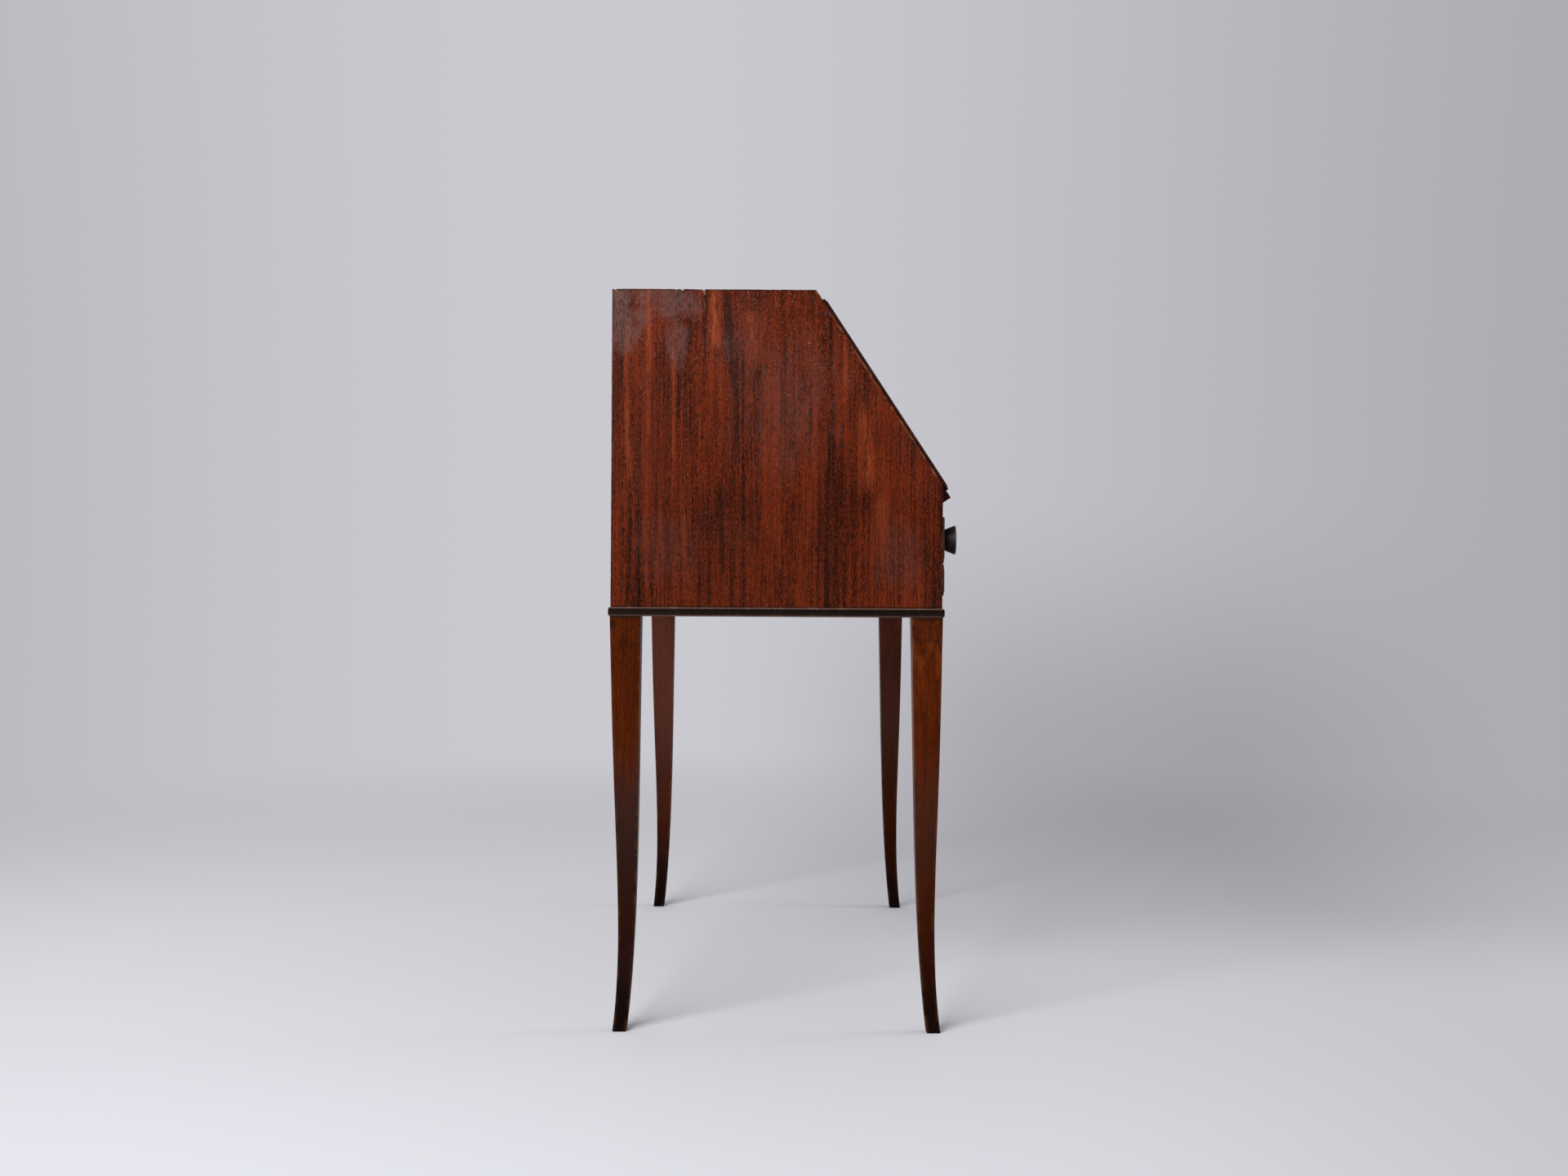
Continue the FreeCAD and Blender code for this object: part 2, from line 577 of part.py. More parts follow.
for word, sign in (("left", -1), ("right", 1)):
    name = "inner_drawer_" + word
    wide = "(-(%s) - partition_x - fitment_board - 2 * inner_gap)" % INNER_LEFT
    x = "(%s + inner_gap)" % INNER_LEFT if sign < 0 else "(partition_x + fitment_board + inner_gap)"
    low = "(writing_top + seat_gap)"
    tall = "(inner_row - seat_gap - inner_gap)"
    behind = "(%s + inner_front)" % FITMENT_Y
    deep = "(fitment_depth - inner_front - fit_gap)"
    front = box(name + "_front_stock", x, FITMENT_Y, low, wide, "inner_front", tall)
    knob_x, knob_z = "%s + %s / 2" % (x, wide), "%s + %s / 2" % (low, tall)
    spigot = cylinder(name + "_spigot", knob_x, FITMENT_Y + " + tiny_spigot", knob_z, "tiny_base / 2",
                      "tiny_spigot", "front")
    turned = knob(name + "_knob", knob_x, FITMENT_Y, knob_z, "tiny", "front")
    node(cut(name + "_front_bored", front, spigot), name + "_front")
    node(fuse(name + "_knob_joined", turned, spigot), name + "_knob")
    floor = box(name + "_floor", x, behind, low, wide, deep, "inner_bottom")
    wall_low = "(%s + inner_bottom)" % low
    wall_tall = "(%s - inner_bottom - fit_gap)" % tall
    walls = [box(name + "_wall", start, behind, wall_low, "inner_wall", deep, wall_tall)
             for start in (x, "%s + %s - inner_wall" % (x, wide))]
    rear = box(name + "_rear", x + " + inner_wall", "%s + %s - inner_wall" % (behind, deep), wall_low,
               wide + " - 2 * inner_wall", "inner_wall", wall_tall)
    node(group(name + "_box_set", [floor, rear] + walls), name + "_box")

# Check every object and write one file for each sub-part
doc.recompute()
for thing in doc.Objects:
    if "Invalid" in thing.State or "Error" in thing.State:
        raise RuntimeError("object in error: " + thing.Label)
os.makedirs("parts", exist_ok=True)
for thing in nodes:
    if thing.Shape.isNull() or not thing.Shape.isValid() or not thing.Shape.Solids:
        raise RuntimeError("bad shape: " + thing.Label)
    thing.Shape.exportStep(os.path.join("parts", thing.Label + ".step"))
print(len(nodes), "nodes written")
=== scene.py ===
import bpy
import bmesh
import json
import math
import numpy as np
from mathutils import Matrix, Vector


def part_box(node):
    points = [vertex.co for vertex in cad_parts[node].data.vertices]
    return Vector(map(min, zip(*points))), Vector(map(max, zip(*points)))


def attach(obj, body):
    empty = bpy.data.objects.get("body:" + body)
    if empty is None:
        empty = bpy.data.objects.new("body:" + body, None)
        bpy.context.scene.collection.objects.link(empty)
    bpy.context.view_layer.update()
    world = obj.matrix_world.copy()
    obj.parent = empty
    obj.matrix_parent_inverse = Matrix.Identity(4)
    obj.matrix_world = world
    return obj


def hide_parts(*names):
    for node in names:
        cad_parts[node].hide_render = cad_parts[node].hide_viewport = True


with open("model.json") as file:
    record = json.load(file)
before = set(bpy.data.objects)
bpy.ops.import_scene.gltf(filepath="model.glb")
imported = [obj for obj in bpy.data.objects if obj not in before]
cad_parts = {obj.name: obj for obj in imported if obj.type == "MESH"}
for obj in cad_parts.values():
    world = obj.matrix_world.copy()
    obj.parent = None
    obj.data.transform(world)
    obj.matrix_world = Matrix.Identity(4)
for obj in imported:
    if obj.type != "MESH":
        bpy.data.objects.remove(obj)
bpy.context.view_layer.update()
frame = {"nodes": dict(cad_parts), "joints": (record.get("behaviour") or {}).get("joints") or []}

# Legs: four square sabre legs of mahogany, one solid piece each, shaped by hand and polished nearly
# black towards the feet. Each has a round tenon on top, glued up through the base board.
# Sizes here and below are in metres.
LEG_HEIGHTS = np.array([0.0, 0.1141, 0.2277, 0.3978, 0.5765])
LEG_OUTER = np.array([0.0034, 0.0106, 0.0093, 0.0039, 0.0])
LEG_INNER = np.array([0.0228, 0.0324, 0.0370, 0.0402, 0.0430])
LEG_CURVE_POWER = 4
LEG_ROWS = 110
LEG_LEAN = 0.0032
LEG_ARRIS = 0.0016
LEG_ARRIS_WAVES = 24
LEG_ARRIS_SPREAD = 0.3
LEG_ARRIS_LIMITS = (-0.5, 0.8)
LEG_EASE = 0.003
FOOT_INSET = 0.06
FOOT_CHAMFER = 0.0012
TENON_RADIUS = 0.009
TENON_TOP = 0.601
CORNER_ARC = np.linspace(0, math.pi / 2, 5)
CORNER_SLIDE = np.pad(np.zeros(len(CORNER_ARC)), 1, constant_values=(-1, 1))
CORNER_WORN = np.pad(np.ones(len(CORNER_ARC)), 1)
END_SHARES = np.array([0.02, 0.35, 0.7, 0.97])[:, None, None]
SHARP_ANGLE = math.radians(38)


def tint(red, green, blue):
    """A colour written in the usual 0 to 255 steps, as linear light for a shader socket.
    A share becomes ((share + 0.055) / 1.055) to the power 2.4, or share / 12.92 where it is very dark."""
    share = np.array([red, green, blue]) / 255
    linear = np.where(share <= 0.04045, share / 12.92, ((share + 0.055) / 1.055) ** 2.4)
    return (*linear.tolist(), 1.0)


def smooth_noise(seed, count, knots, size):
    """A gentle random line of count values: random heights at even knots, joined by straight runs
    and softened by the mean of each five neighbours."""
    heights = np.random.default_rng(seed).normal(0, size, knots)
    line = np.interp(np.linspace(0, knots - 1, count), np.arange(knots), heights)
    return np.convolve(np.pad(line, 2, mode="edge"), np.ones(5) / 5, mode="valid")


def rounded_rings(x_low, x_high, y_low, y_high, radius, ease):
    """Rings of a rectangle with round corners, one to each row of the arrays, and their rubbed shares.
    A corner has a point ease before its arc, the points of the arc, and a point ease after it:
    corner centre + radius * (cos angle, sin angle), with the outer two slid along the faces."""
    points = []
    shares = []
    for number in range(4):
        right = number in (0, 3)
        top = number in (0, 1)
        centre_x = (x_high - radius if right else x_low + radius)[:, None]
        centre_y = (y_high - radius if top else y_low + radius)[:, None]
        angle = number * math.pi / 2 + np.pad(CORNER_ARC, 1, mode="edge")[None, :]
        slide = CORNER_SLIDE[None, :] * ease
        x = centre_x + radius[:, None] * np.cos(angle) - slide * np.sin(angle)
        y = centre_y + radius[:, None] * np.sin(angle) + slide * np.cos(angle)
        points.append(np.stack((x, y), axis=-1))
        shares.append(np.broadcast_to(CORNER_WORN, x.shape))
    return np.concatenate(points, axis=1), np.concatenate(shares, axis=1)


# On the base strips the rubbed share also carries a painted highlight, and on the side boards the dark
# border is painted shade.
def skin(name, shells, material, body, slot, *stands_for):
    """One piece of closed shells. Each is a grid of rings, with the share that is rubbed and the share that
    is a dark border at every point, which the attributes arris and border keep.
    Four-sided faces join neighbouring rings. Each end is closed by rings drawn in to its middle:
    middle + share * (end ring - middle). The piece rides on its body and stands for CAD nodes."""
    points = []
    faces = []
    shares = []
    for grid, worn, border in shells:
        first = grid[0]
        last = grid[-1]
        opening = first.mean(axis=0) + (first - first.mean(axis=0)) * END_SHARES
        closing = last.mean(axis=0) + (last - last.mean(axis=0)) * END_SHARES[::-1]
        plain = np.zeros((len(END_SHARES), grid.shape[1]))
        worn = np.broadcast_to(worn, grid.shape[:2])
        border = np.broadcast_to(border, grid.shape[:2])
        worn = np.concatenate((plain, worn, plain))
        border = np.concatenate((plain + border[0, 0], border, plain + border[-1, 0]))
        shares.append(np.stack((worn.ravel(), border.ravel())))
        grid = np.concatenate((opening, grid, closing))
        rows, columns = grid.shape[:2]
        number = len(points) + np.arange(rows * columns).reshape(rows, columns)
        ahead = np.roll(number, -1, axis=1)
        quads = np.stack((number[:-1], ahead[:-1], ahead[1:], number[1:]), axis=-1).reshape(-1, 4)
        faces += quads.tolist() + [number[0, ::-1].tolist(), number[-1].tolist()]
        points += grid.reshape(-1, 3).tolist()
    mesh = bpy.data.meshes.new(name)
    mesh.from_pydata(points, [], faces)
    for label, values in zip(("arris", "border"), np.concatenate(shares, axis=1).astype(np.float32)):
        mesh.attributes.new(label, "FLOAT", "POINT").data.foreach_set("value", values)
    work = bmesh.new()
    work.from_mesh(mesh)
    bmesh.ops.recalc_face_normals(work, faces=work.faces)
    work.to_mesh(mesh)
    work.free()
    mesh.shade_smooth()
    mesh.set_sharp_from_angle(angle=SHARP_ANGLE)
    mesh.materials.append(material)
    piece = bpy.data.objects.new(name, mesh)
    bpy.context.scene.collection.objects.link(piece)
    even = piece.modifiers.new("even_normals", "WEIGHTED_NORMAL")
    even.keep_sharp = True
    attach(piece, body)
    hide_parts(*stands_for)


def wire(tree, socket, value):
    """Link an output to a socket, or set a plain value on it."""
    if isinstance(value, bpy.types.NodeSocket):
        tree.links.new(value, socket)
    else:
        socket.default_value = value


def reckon(tree, operation, *values):
    """A Math node over the values given."""
    made = tree.nodes.new("ShaderNodeMath")
    made.operation = operation
    for socket, value in zip(made.inputs, values):
        wire(tree, socket, value)
    return made.outputs[0]


def times(tree, first, second):
    """One value times another."""
    return reckon(tree, "MULTIPLY", first, second)


def reckon_vector(tree, operation, *values):
    """A Vector Math node over the values given."""
    made = tree.nodes.new("ShaderNodeVectorMath")
    made.operation = operation
    for socket, value in zip(made.inputs, values):
        wire(tree, socket, value)
    return made.outputs


def axes(tree, place):
    """The X, Y and Z of a place."""
    made = tree.nodes.new("ShaderNodeSeparateXYZ")
    wire(tree, made.inputs[0], place)
    return made.outputs["X"], made.outputs["Y"], made.outputs["Z"]


def noise(tree, place, cycles, detail, rough):
    """Noise with so many cycles to the metre along each axis."""
    made = tree.nodes.new("ShaderNodeTexNoise")
    wire(tree, made.inputs["Vector"], reckon_vector(tree, "MULTIPLY", place, cycles)["Vector"])
    for label, number in (("Scale", 1.0), ("Detail", detail), ("Roughness", rough)):
        made.inputs[label].default_value = number
    return made.outputs


def both_ways(tree, value):
    """Noise measured from its middle, so that it swings both ways."""
    return reckon(tree, "SUBTRACT", value, 0.5)


def ramp(tree, value, low, high, start=0.0, end=1.0):
    """A soft step from start to end as the value goes from low to high."""
    made = tree.nodes.new("ShaderNodeMapRange")
    made.interpolation_type = "SMOOTHSTEP"
    wire(tree, made.inputs["Value"], value)
    for label, number in (("From Min", low), ("From Max", high), ("To Min", start), ("To Max", end)):
        made.inputs[label].default_value = number
    return made.outputs["Result"]


def patches(tree, place, layer, edge):
    """A layer of noise cut to patches by a soft edge."""
    return ramp(tree, noise(tree, place, *layer)["Fac"], *edge)


def blend(tree, share, first, second):
    """Lay the second colour over the first by a share."""
    made = tree.nodes.new("ShaderNodeMix")
    made.data_type = "RGBA"
    wire(tree, made.inputs["Factor"], share)
    colours = [socket for socket in made.inputs if socket.type == "RGBA"]
    wire(tree, colours[0], first)
    wire(tree, colours[1], second)
    return [socket for socket in made.outputs if socket.type == "RGBA"][0]


def shader_group(name, inputs, outputs):
    """A new shader node group with named sockets: its tree, its input sockets and its output sockets."""
    tree = bpy.data.node_groups.new(name, "ShaderNodeTree")
    for label, kind in inputs:
        tree.interface.new_socket(label, in_out="INPUT", socket_type="NodeSocket" + kind)
    for label, kind in outputs:
        tree.interface.new_socket(label, in_out="OUTPUT", socket_type="NodeSocket" + kind)
    return tree, tree.nodes.new("NodeGroupInput").outputs, tree.nodes.new("NodeGroupOutput").inputs


def placed(tree, group, **values):
    """Put a shader group into a tree and fill its sockets."""
    made = tree.nodes.new("ShaderNodeGroup")
    made.node_tree = group
    for label, value in values.items():
        wire(tree, made.inputs[label], value)
    return made.outputs


# The grain: ribbons of early and late wood, fibre, dark flecks and open pores, all along local Z.
# A layer of noise, here and below, has its cycles to the metre, its detail and its roughness.
# An edge or step has the two values it runs between, and where they are not 0 and 1 the shares at both.
WANDER = ((7, 7, 1.3), 2.0, 0.5)
SWAY = (0.02, 0.02, 0.0)
RIBBON = ((26, 26, 1.1), 2.0, 0.55)
RIBBON_WEIGHT = 1.1
STRIPE = ((140, 140, 2.0), 3.0, 0.6)
FIBRE = ((460, 460, 9), 3.0, 0.65)
FIBRE_HEIGHT = 0.35
DASH = ((500, 500, 210), 3.0, 0.7)
MOTTLE = ((18, 18, 8), 3.0, 0.6)
TONE_EDGE = (-0.25, 1.25)
FLECK = ((640, 640, 120), 2.0, 0.6)
FLECK_EDGE = (0.5, 0.68)
FLECK_SHARE = 0.4
PORE = ((1500, 1500, 110), 1.0, 0.5)
PORE_EDGE = (0.6, 0.7)
PORE_SHARE = 0.45
grain, enter, leave = shader_group(
    "mahogany_grain", [("Place", "Vector"), ("Pale", "Color"), ("Deep", "Color"), ("Figure", "Float")],
    [("Colour", "Color"), ("Height", "Float")])
wander = noise(grain, enter["Place"], *WANDER)["Color"]
wander = reckon_vector(grain, "SUBTRACT", wander, (0.5, 0.5, 0.5))["Vector"]
swayed = reckon_vector(grain, "MULTIPLY_ADD", wander, SWAY, enter["Place"])["Vector"]
ribbon = noise(grain, swayed, *RIBBON)["Fac"]
stripe = noise(grain, swayed, *STRIPE)["Fac"]
fibre = noise(grain, swayed, *FIBRE)["Fac"]
dash = noise(grain, swayed, *DASH)["Fac"]
mottle = noise(grain, swayed, *MOTTLE)["Fac"]
fleck = patches(grain, swayed, FLECK, FLECK_EDGE)
pore = patches(grain, swayed, PORE, PORE_EDGE)
swing = times(grain, both_ways(grain, ribbon), enter["Figure"])
tone = reckon(grain, "MULTIPLY_ADD", swing, RIBBON_WEIGHT, 0.5)
for layer, weight in ((stripe, 1.25), (fibre, 1.7), (dash, 2.4), (mottle, 0.9)):
    tone = reckon(grain, "ADD", tone, times(grain, both_ways(grain, layer), weight))
tone = ramp(grain, tone, *TONE_EDGE)
wood_colour = blend(grain, tone, enter["Deep"], enter["Pale"])
wood_colour = blend(grain, times(grain, fleck, FLECK_SHARE), wood_colour, enter["Deep"])
wood_colour = blend(grain, times(grain, pore, PORE_SHARE), wood_colour, tint(24, 8, 4))
wire(grain, leave["Colour"], wood_colour)
wire(grain, leave["Height"], reckon(grain, "SUBTRACT", times(grain, fibre, FIBRE_HEIGHT), pore))

# The polish: a cloudy and speckled bloom, with a duller surface where it is cloudy
POLISH_CLOUD = ((9, 9, 7), 3.0, 0.55)
POLISH_CLOUD_EDGE = (0.5, 0.72)
POLISH_CLOUD_DULL = 0.12
POLISH_SPECK = ((330, 330, 210), 2.0, 0.6)
POLISH_SPECK_EDGE = (0.35, 0.65, 0.45, 1.0)
POLISH_SPECK_DULL = 0.1
polish, enter, leave = shader_group(
    "old_polish", [("Place", "Vector"), ("Bloom", "Float"), ("Dull", "Float")],
    [("Haze", "Float"), ("Roughness", "Float")])
cloudy = patches(polish, enter["Place"], POLISH_CLOUD, POLISH_CLOUD_EDGE)
speck = noise(polish, enter["Place"], *POLISH_SPECK)["Fac"]
speckled = times(polish, cloudy, ramp(polish, speck, *POLISH_SPECK_EDGE))
wire(polish, leave["Haze"], times(polish, speckled, enter["Bloom"]))
uneven = reckon(polish, "ADD", times(polish, cloudy, POLISH_CLOUD_DULL),
                times(polish, speck, POLISH_SPECK_DULL))
wire(polish, leave["Roughness"], reckon(polish, "ADD", enter["Dull"], uneven))

# Rubbed arrises, and a painted highlight on the base strips: where a rubbed arris shows, broken up along its
# length unless it is worn evenly
WEAR_PATCH = ((45, 45, 45), 4.0, 0.7)
WEAR_EDGE = (0.42, 0.62)
wear_and_highlight, enter, leave = shader_group(
    "arris_wear_and_highlight", [("Place", "Vector"), ("Arris", "Float"), ("Amount", "Float"), ("Even", "Float")],
    [("Mask", "Float")])
patch = patches(wear_and_highlight, enter["Place"], WEAR_PATCH, WEAR_EDGE)
patch = reckon(wear_and_highlight, "MAXIMUM", patch, enter["Even"])
patch = times(wear_and_highlight, patch, enter["Arris"])
wire(wear_and_highlight, leave["Mask"], times(wear_and_highlight, patch, enter["Amount"]))

GRAIN_TURN = {"Z": (0, 0, 0), "X": (0, math.pi / 2, 0), "Y": (math.pi / 2, 0, 0)}
BORDER_SHARE = 0.92
WOOD_BUMP = (0.25, 0.0004)


def new_material(name):
    """A material with its tree, its Principled shader, and the object's own coordinates."""
    material = bpy.data.materials.new(name)
    material.use_nodes = True
    tree = material.node_tree
    place = tree.nodes.new("ShaderNodeTexCoord").outputs["Object"]
    return material, tree, tree.nodes["Principled BSDF"], place


def kept_share(tree, label):
    """A share that a piece keeps at its points."""
    made = tree.nodes.new("ShaderNodeAttribute")
    made.attribute_name = label
    return made.outputs["Fac"]


def bump(tree, shader, height, strength, distance):
    """Raise the surface by a height."""
    made = tree.nodes.new("ShaderNodeBump")
    made.inputs["Strength"].default_value = strength
    made.inputs["Distance"].default_value = distance
    wire(tree, made.inputs["Height"], height)
    wire(tree, shader.inputs["Normal"], made.outputs["Normal"])


# On the base strips the rubbed colour paints a highlight along the upper arris, on the side boards the dark
# border is painted shade, and the stains of the legs and side boards hold painted shade too.
def wood(name, pale, deep, along="Z", shift=(0, 0, 0), figure=1.0, bloom=0.1, dull=0.3, rub=0.3,
         rubbed=(132, 78, 52), even=0.0, shine=0.1, stain=None):
    """A polished wood: grain along one axis, cloudy bloom, dark borders and rubbed arrises.
    A stain changes the colour by its place."""
    material, tree, shader, place = new_material(name)
    laid = tree.nodes.new("ShaderNodeMapping")
    wire(tree, laid.inputs["Vector"], place)
    laid.inputs["Location"].default_value = shift
    laid.inputs["Rotation"].default_value = GRAIN_TURN[along]
    boards = placed(tree, grain, Place=laid.outputs[0], Pale=tint(*pale), Deep=tint(*deep), Figure=figure)
    coat = placed(tree, polish, Place=laid.outputs[0], Bloom=bloom, Dull=dull)
    colour = boards["Colour"]
    if stain:
        colour = stain(tree, place, colour)
    colour = blend(tree, coat["Haze"], colour, tint(122, 88, 84))
    border = times(tree, kept_share(tree, "border"), BORDER_SHARE)
    colour = blend(tree, border, colour, tint(20, 10, 8))
    rub_and_highlight = placed(tree, wear_and_highlight, Place=place, Arris=kept_share(tree, "arris"), Amount=rub, Even=even)
    colour = blend(tree, rub_and_highlight["Mask"], colour, tint(*rubbed))
    wire(tree, shader.inputs["Base Color"], colour)
    wire(tree, shader.inputs["Roughness"], coat["Roughness"])
    shader.inputs["Specular IOR Level"].default_value = shine
    bump(tree, shader, boards["Height"], *WOOD_BUMP)
    return material


# The stain and painted shade on the legs, with its steps by height unless a name says otherwise
LEG_HALVES = (-0.1, 0.1)
STAIN_CLOUD = ((25, 25, 6), 3.0, 0.6)
STAIN_RAGGED = 0.16
AMBER = ((60, 60, 22), 3.0, 0.6)
AMBER_EDGE = (0.45, 0.62)
AMBER_STEP = (0.42, 0.53, 0.0, 0.75)
SHADE_UNDER_CASE_NOISE = ((70, 70, 60), 3.0, 0.6)
SHADE_UNDER_CASE_EDGE = (0.46, 0.62)
SHADE_UNDER_CASE_STEP = (0.5, 0.57, 0.0, 0.8)
SHADE_LINE_UNDER_BASE = (0.570, 0.576, 0.0, 0.75)
HAZE_HEIGHT = 0.36
HAZE_SPREAD = (0.02, 0.16, 1.0, 0.0)
HAZE_BACK_LEFT = (0.0, 1.0, 0.5, 0.85)
FADED_ACROSS = (0.0, 0.3)
FADED_STEP = (0.2, 0.4)
FADED_SHARE = 0.28
CALF_STEP = (0.12, 0.42, 0.92, 0.0)
CALF_BACK_LEFT_RISE = 0.06
FOOT_STEP = (0.01, 0.12, 0.75, 0.0)


def dark_feet(tree, place, colour):
    """The legs' stain: brown at the top with amber in front and patchy painted shade under the case, darkest
    in a line right under the base, a hazy middle, and nearly black from the calf down. The haze is strongest
    on the back left leg."""
    across, depth, up = axes(tree, place)
    in_front = ramp(tree, depth, *LEG_HALVES, 1.0, 0.0)
    behind = ramp(tree, depth, *LEG_HALVES)
    back_left = times(tree, behind, ramp(tree, across, *LEG_HALVES, 1.0, 0.0))
    ragged = reckon(tree, "MULTIPLY_ADD", noise(tree, place, *STAIN_CLOUD)["Fac"], STAIN_RAGGED, up)
    amber = patches(tree, place, AMBER, AMBER_EDGE)
    amber = times(tree, amber, ramp(tree, up, *AMBER_STEP))
    amber = times(tree, amber, in_front)
    colour = blend(tree, amber, colour, tint(108, 48, 14))
    # Painted shade: patchy darkening under the case and a dark line right under the base board.
    shade_under_case = patches(tree, place, SHADE_UNDER_CASE_NOISE, SHADE_UNDER_CASE_EDGE)
    shade_under_case = times(tree, shade_under_case, ramp(tree, up, *SHADE_UNDER_CASE_STEP))
    shade_under_case = reckon(tree, "MAXIMUM", shade_under_case, ramp(tree, up, *SHADE_LINE_UNDER_BASE))
    colour = blend(tree, shade_under_case, colour, tint(34, 16, 8))
    haze = reckon(tree, "ABSOLUTE", reckon(tree, "SUBTRACT", ragged, HAZE_HEIGHT))
    haze = times(tree, ramp(tree, haze, *HAZE_SPREAD), ramp(tree, back_left, *HAZE_BACK_LEFT))
    colour = blend(tree, haze, colour, tint(54, 34, 29))
    faded = times(tree, ramp(tree, across, *FADED_ACROSS), ramp(tree, up, *FADED_STEP))
    colour = blend(tree, times(tree, faded, FADED_SHARE), colour, tint(92, 66, 62))
    calf = blend(tree, behind, tint(34, 10, 2), tint(24, 11, 8))
    lowered = reckon(tree, "MULTIPLY_ADD", back_left, -CALF_BACK_LEFT_RISE, ragged)
    colour = blend(tree, ramp(tree, lowered, *CALF_STEP), colour, calf)
    return blend(tree, ramp(tree, up, *FOOT_STEP), colour, tint(9, 4, 3))


leg_wood = wood("leg_mahogany", (98, 38, 7), (62, 21, 3), "Z", figure=0.4, bloom=0.02, dull=0.3, rub=0.3,
                rubbed=(104, 62, 42), shine=0.03, stain=dark_feet)
leg_out_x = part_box("leg_front_left")[0].x
leg_out_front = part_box("leg_front_left")[0].y
leg_out_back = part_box("leg_back_left")[1].y
height = np.linspace(0, LEG_HEIGHTS[-1], LEG_ROWS)
outer = np.polyval(np.polyfit(LEG_HEIGHTS, LEG_OUTER, LEG_CURVE_POWER), height)
inner = np.polyval(np.polyfit(LEG_HEIGHTS, LEG_INNER, LEG_CURVE_POWER), height)
lean = LEG_LEAN * (1 - height / LEG_HEIGHTS[-1])
leg_words = [(depth_word, side_word) for depth_word in ("front", "back") for side_word in ("left", "right")]
for leg_number, (depth_word, side_word) in enumerate(leg_words):
    uneven = smooth_noise(leg_number, LEG_ROWS, LEG_ARRIS_WAVES, LEG_ARRIS_SPREAD)
    radius = LEG_ARRIS * (1 + np.clip(uneven, *LEG_ARRIS_LIMITS))
    x_low, x_high = leg_out_x + outer, leg_out_x + inner
    if side_word == "right":
        x_low, x_high = -x_high, -x_low
    y_low, y_high = leg_out_front + outer, leg_out_front + inner
    if depth_word == "back":
        y_low, y_high = leg_out_back - inner, leg_out_back - outer
    flat, worn = rounded_rings(x_low, x_high, y_low - lean, y_high - lean, radius, LEG_EASE)
    shaft = np.concatenate((flat, np.broadcast_to(height[:, None, None], flat.shape[:2] + (1,))), axis=2)
    middle = shaft[-1].mean(axis=0)
    spoke = shaft[-1] - middle
    ring = middle + spoke / np.linalg.norm(spoke, axis=1, keepdims=True) * TENON_RADIUS
    tenon_top = ring.copy()
    tenon_top[:, 2] = TENON_TOP
    foot = shaft[0] * (1 - FOOT_INSET) + shaft[0].mean(axis=0) * FOOT_INSET
    shaft[0, :, 2] = FOOT_CHAMFER
    shaft = np.concatenate((foot[None], shaft, ring[None], tenon_top[None]))
    worn = np.pad(worn, ((1, 2), (0, 0)))
    name = "leg_%s_%s" % (depth_word, side_word)
    skin(name + "_shaped", [(shaft, worn, 0)], leg_wood, "case", "leg_mahogany", name)

# Base: a thin mahogany board under the case, with four mitred strips of dark moulding glued round it.
# The upper arris of the moulding is rubbed, and a painted highlight runs along it as a continuous pale line.
BASE_OUT = 0.003
BASE_IN = 0.007
BASE_NOSE = 0.0028
BASE_ROWS = 90
BASE_RUB = 0.0003
BASE_RUB_WAVES = 40
BASE_SEED = 40
BASE_LOWER_WORN = [0.0, 0.4, 1.2, 1.2, 0.5, 0.1]
BASE_UPPER_RUB_AND_HIGHLIGHT = [0.0, 0.2, 1.0, 2.2, 2.4, 1.6]
base_low, base_high = (corner.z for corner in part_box("base_moulding_left"))
nose_turn = np.linspace(-math.pi / 2, 0, len(BASE_LOWER_WORN))
lower_nose = np.stack((BASE_OUT - BASE_NOSE + BASE_NOSE * np.cos(nose_turn),
                       base_low + BASE_NOSE + BASE_NOSE * np.sin(nose_turn)), axis=1)
upper_nose = lower_nose[::-1] * (1, -1) + (0, base_low + base_high)
base_profile = np.concatenate(([[-BASE_IN, base_low]], lower_nose, upper_nose, [[-BASE_IN, base_high]]))
base_rub_and_highlight = np.concatenate(([0.0], BASE_LOWER_WORN, BASE_UPPER_RUB_AND_HIGHLIGHT, [0.0]))
side_low, side_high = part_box("side_panel_left")
panel_x = -side_low.x
case_corners = np.array([[-panel_x, side_low.y], [panel_x, side_low.y],
                         [panel_x, side_high.y], [-panel_x, side_high.y]])
# Their pale rubbed colour, laid on evenly, paints the highlight along the upper arris.
base_woods = {word: wood("base_mahogany_" + word, (26, 13, 10), (10, 5, 4), word, figure=0.7, bloom=0.0,
                         dull=0.34, shine=0.06, rub=0.5, rubbed=(150, 114, 102), even=0.6)
              for word in ("X", "Y")}
# At a mitre a point starts as far before the corner, or ends as far past it, as it stands out from the case
for strip, word in enumerate(("front", "right", "back", "left")):
    start, end = case_corners[strip], case_corners[(strip + 1) % len(case_corners)]
    run = (end - start) / np.linalg.norm(end - start)
    outward = np.array([run[1], -run[0]])
    share = np.linspace(0, 1, BASE_ROWS)[:, None, None]
    rub_line = BASE_RUB * np.abs(smooth_noise(BASE_SEED + strip, BASE_ROWS, BASE_RUB_WAVES, 1.0))
    out = base_profile[None, :, 0, None] - rub_line[:, None, None] * base_rub_and_highlight[None, :, None]
    flat = (start - run * out) * (1 - share) + (end + run * out) * share + outward * out
    lift = np.broadcast_to(base_profile[None, :, 1, None], flat.shape[:2] + (1,))
    grid = np.concatenate((flat, lift), axis=2)
    skin("base_strip_" + word, [(grid, base_rub_and_highlight, 0)], base_woods["X" if word in ("front", "back") else "Y"],
         "case", "dark_mahogany", "base_moulding_" + word)

nodes = frame["nodes"]
WELD_REACH = 0.00002
EASED_WIDTH = 0.0006
EASED_ANGLE = math.radians(50)


